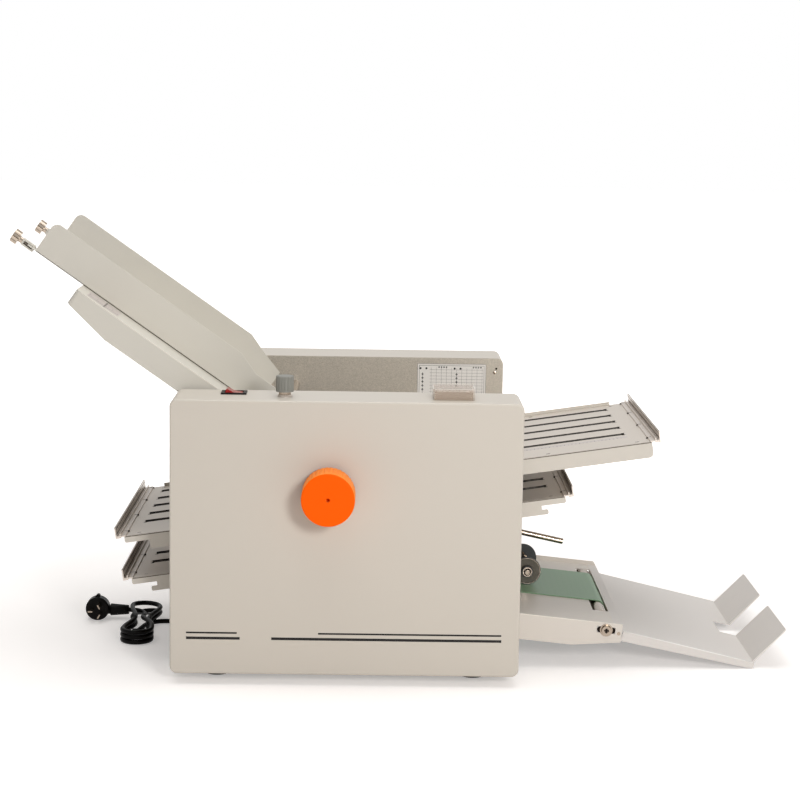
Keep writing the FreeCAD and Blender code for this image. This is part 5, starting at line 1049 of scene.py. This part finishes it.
@dataclass
class MainsCord:
    """The mains cord: one round flex from the gland, through its tied hank, to the plug."""

    radius: float = 3.3
    # The route of the lead, as in the CAD part, from the cover's left end and front face.
    lead: Sequence[Point] = ((22, 421.5, 46), (22, 392, 46), (22, 357, 21), (19, 330, 6),
                             (7.5, 310.5, 3.6), (-13.5, 298, 3.6), (-38, 298, 3.6))
    centre_x: float = -64.5
    front_y: float = 203.0
    rear_y: float = 321.0
    turn: float = 20.0
    waist: float = 8.5
    layer: float = 6.8
    # How far each turn's rear left corner lies above the lowest layer, clear of the turn below.
    rear_rises: Tuple[float, float] = (1.0, 16.6)
    steps: int = 6
    # The tie: its inside and outside past the waist, its ends along Y, and its two heights.
    tie_walls: Tuple[float, float] = (3.4, 4.6)
    tie_y: Tuple[float, float] = (259.0, 265.0)
    tie_z: Tuple[float, float] = (0.2, 23.6)

    def leg(self, side: int, towards_rear: bool, start: float, end: float) -> List[Point]:
        """Gives the points of one straight leg of the hank, drawn in at the waist.

        Args:
            side: -1 for the left leg, 1 for the right one.
            towards_rear: whether the cord runs towards +Y.
            start: height at the leg's first point.
            end: height at the leg's last point.

        Returns:
            Points in millimetres from the cover's left end and front face.
        """
        points = []
        for step in range(1, self.steps):
            share = step / self.steps
            along = share if towards_rear else 1.0 - share
            pinch = math.sin(math.pi * share) ** 2
            reach = self.turn + (self.waist - self.turn) * pinch
            points.append((self.centre_x + side * reach,
                           self.front_y + along * (self.rear_y - self.front_y),
                           start + (end - start) * min(1.0, 1.4 * share)))
        return points

    def bend(self, rear: bool, start: float, end: float) -> List[Point]:
        """Gives the points of one half turn at an end of the hank.

        Args:
            rear: whether it is the rear end.
            start: height at the first point.
            end: height at the last point.

        Returns:
            Points in millimetres from the cover's left end and front face.
        """
        points = []
        first, middle = (0.0, self.rear_y) if rear else (math.pi, self.front_y)
        for step in range(self.steps + 1):
            angle = first + math.pi * step / self.steps
            points.append((self.centre_x + self.turn * math.cos(angle),
                           middle + self.turn * math.sin(angle),
                           start + (end - start) * step / self.steps))
        return points

    def route(self) -> List[Point]:
        """Gives the whole centreline from the gland to the plug's neck.

        Returns:
            Points in millimetres from the cover's left end and front face.
        """
        low = self.lead[-1][2]
        points = list(self.lead)
        points += [(-47, 295, low), (-55.5, 287.5, low), (-61.5, 275, low), (-64.5, 259, low),
                   (-68, 243, low), (-75, 228, low), (-82, 215, low)]
        height = low
        for rise in self.rear_rises:
            above = height + self.layer
            points += self.bend(False, height, height)
            points += self.leg(1, True, height, above)
            points += self.bend(True, above, low + rise)
            points += self.leg(-1, False, low + rise, above)
            height = above
        points += self.bend(False, height, height)
        points += [(-46, 222, height + 2.4), (-54, 240, height + 3.0), (-62, 258, height + 1.4),
                   (-64.5, 276, height - 1.8), (-64.5, 292, 13.6), (-65, 304, 12.9),
                   (-70, 315, 12.8), (-79, 322, 12.8), (-91, 324, 12.8)]
        return points

    def build(self) -> None:
        points = [from_corner(*point) for point in self.route()]
        data = bpy.data.curves.new("mains_cord", "CURVE")
        data.dimensions = "3D"
        data.bevel_depth = self.radius * MM
        data.bevel_resolution = 5
        data.resolution_u = 6
        data.use_fill_caps = True
        spline = data.splines.new("NURBS")
        spline.points.add(len(points) - 1)
        for slot, point in zip(spline.points, points):
            slot.co = (*point, 1.0)
        spline.order_u = 3
        spline.use_endpoint_u = True
        data.materials.append(CORD_PVC.build())
        made = bpy.data.objects.new("mains_cord", data)
        bpy.context.scene.collection.objects.link(made)
        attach(made, "machine")
        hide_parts("cord_lead", "cord_hank")
        self._tie()

    def _tie(self) -> None:
        """Builds the soft tie round the hank's waist."""
        tie = Piece("cord_tie", BLACK_RUBBER, "machine", CORNER)
        inner, outer = (self.waist + wall for wall in self.tie_walls)
        (front, rear), (low, high) = self.tie_y, self.tie_z
        for start, end, bottom, top in ((-outer, -inner, low, high), (inner, outer, low, high),
                                        (-outer, outer, low, low + 1.0),
                                        (-outer, outer, high - 1.2, high)):
            tie.block((self.centre_x + start, front, bottom), (self.centre_x + end, rear, top))
        tie.done(0.3)


@dataclass
class Studio:
    """The pale floor, the white surroundings, the lamps and the camera."""

    camera_place: Point = (-0.03452, -2.75033, 0.73882)
    heading: float = 0.7413
    pitch: float = 8.4519
    roll: float = 0.9053
    lens: float = 92.25
    ambient: float = 0.42
    left_shade: float = 0.52
    shade_reach: float = 0.7
    floor_size: float = 14.0
    floor_colour: Point = (0.86, 0.83, 0.81)
    glow_colour: Point = (1.0, 0.98, 0.965)
    # Two distances from the middle of the object, each with the floor's glow there.
    glow_near: Tuple[float, float] = (0.65, 0.35)
    glow_far: Tuple[float, float] = (1.6, 1.1)
    lamp_target: Point = (0.0, 0.0, 0.2)
    # Each lamp's place, width and power.
    lamps: Dict[str, Tuple[Point, float, float]] = field(default_factory=lambda: {
        "key": ((0.8, -2.6, 1.05), 0.5, 33.0), "overhead": ((-0.1, 0.1, 2.6), 2.4, 43.0)})

    def build(self) -> None:
        """Builds the whole studio."""
        self._camera()
        self._floor()
        self._world()
        self._lamps()

    def _camera(self) -> None:
        """Places the camera in front of the machine, looking slightly down on it."""
        yaw, dip, lean = (math.radians(a) for a in (self.heading, self.pitch, self.roll))
        level = math.cos(dip)
        ahead = Vector((math.sin(yaw) * level, math.cos(yaw) * level, -math.sin(dip)))
        right = Vector((math.cos(yaw), -math.sin(yaw), 0.0))
        up = right.cross(ahead)
        rolled_right = right * math.cos(lean) + up * math.sin(lean)
        rolled_up = up * math.cos(lean) - right * math.sin(lean)
        data = bpy.data.cameras.new("camera")
        data.lens = self.lens
        data.sensor_width = 36.0
        made = bpy.data.objects.new("camera", data)
        turn = Matrix((rolled_right, rolled_up, -ahead)).transposed()
        made.matrix_world = Matrix.Translation(self.camera_place) @ turn.to_4x4()
        bpy.context.scene.collection.objects.link(made)
        bpy.context.scene.camera = made

    def _floor(self) -> None:
        """Builds the white floor, which keeps the object's shadow and has no horizon."""
        mesh = bmesh.new()
        bmesh.ops.create_grid(mesh, x_segments=1, y_segments=1, size=self.floor_size)
        data = bpy.data.meshes.new("floor")
        mesh.to_mesh(data)
        mesh.free()
        material = bpy.data.materials.new("white_studio_floor")
        material.use_nodes = True
        tree = material.node_tree
        shader = tree.nodes["Principled BSDF"]
        place = add_node(tree, "TexCoord", {}).outputs["Object"]
        distance = add_node(tree, "VectorMath", {0: place}, operation="LENGTH").outputs["Value"]
        (near, dim), (far, bright) = self.glow_near, self.glow_far
        glow = add_node(tree, "MapRange", {"Value": distance, "From Min": near, "From Max": far,
                                           "To Min": dim, "To Max": bright}).outputs["Result"]
        # The floor glows for the eye and for mirrors, and lights nothing.
        path = add_node(tree, "LightPath", {}).outputs
        clear = add_node(tree, "Math", {0: path["Is Glossy Ray"], 1: path["Is Transmission Ray"]},
                         operation="MAXIMUM").outputs[0]
        seen = add_node(tree, "Math", {0: path["Is Camera Ray"], 1: clear},
                        operation="MAXIMUM").outputs[0]
        strength = add_node(tree, "Math", {0: seen, 1: glow}, operation="MULTIPLY").outputs[0]
        for name, source in (("Roughness", 0.9), ("Specular IOR Level", 0.0),
                             ("Base Color", (*self.floor_colour, 1.0)),
                             ("Emission Color", (*self.glow_colour, 1.0)),
                             ("Emission Strength", strength)):
            feed(tree, shader.inputs[name], source)
        data.materials.append(material)
        made = bpy.data.objects.new("floor", data)
        bpy.context.scene.collection.objects.link(made)

    def _world(self) -> None:
        """Builds the white surroundings: softer as light, and darker in mirrors on the left."""
        world = bpy.data.worlds.new("studio")
        world.use_nodes = True
        tree = world.node_tree
        place = add_node(tree, "TexCoord", {}).outputs["Generated"]
        across = add_node(tree, "SeparateXYZ", {"Vector": place}).outputs["X"]
        shade = add_node(tree, "MapRange", {"Value": across, "From Min": -self.shade_reach,
                                            "From Max": self.shade_reach,
                                            "To Min": self.left_shade, "To Max": 1.0})
        path = add_node(tree, "LightPath", {}).outputs
        mirrored = add_node(tree, "Math", {0: path["Is Glossy Ray"], 1: self.ambient},
                            operation="MAXIMUM").outputs[0]
        level = add_node(tree, "Math", {0: mirrored, 1: shade.outputs["Result"]},
                         operation="MULTIPLY").outputs[0]
        clear = add_node(tree, "Math", {0: path["Is Camera Ray"], 1: path["Is Transmission Ray"]},
                         operation="MAXIMUM").outputs[0]
        strength = add_node(tree, "Math", {0: clear, 1: level}, operation="MAXIMUM").outputs[0]
        background = tree.nodes["Background"]
        feed(tree, background.inputs["Strength"], strength)
        feed(tree, background.inputs["Color"], (1.0, 1.0, 1.0, 1.0))
        bpy.context.scene.world = world
        bpy.context.scene.view_settings.view_transform = "Standard"

    def _lamps(self) -> None:
        """Builds the key lamp beside the camera and the wide lamp overhead."""
        for name, (place, size, power) in self.lamps.items():
            data = bpy.data.lights.new(name, "AREA")
            data.size = size
            data.energy = power
            made = bpy.data.objects.new(name, data)
            aim = (Vector(self.lamp_target) - Vector(place)).to_track_quat("-Z", "Y")
            made.matrix_world = Matrix.Translation(place) @ aim.to_matrix().to_4x4()
            bpy.context.scene.collection.objects.link(made)


def main() -> None:
    """Builds the whole scene."""
    logging.basicConfig(level=logging.INFO)
    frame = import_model()
    dress(frame)
    for detail in (Studio(), MainsCord(), CoverDetails(), *PLATES, FeedDetails(), DeliveryDetails(),
                   ControlDetails(), PlugDetails()):
        detail.build()


if __name__ == "__main__":
    main()
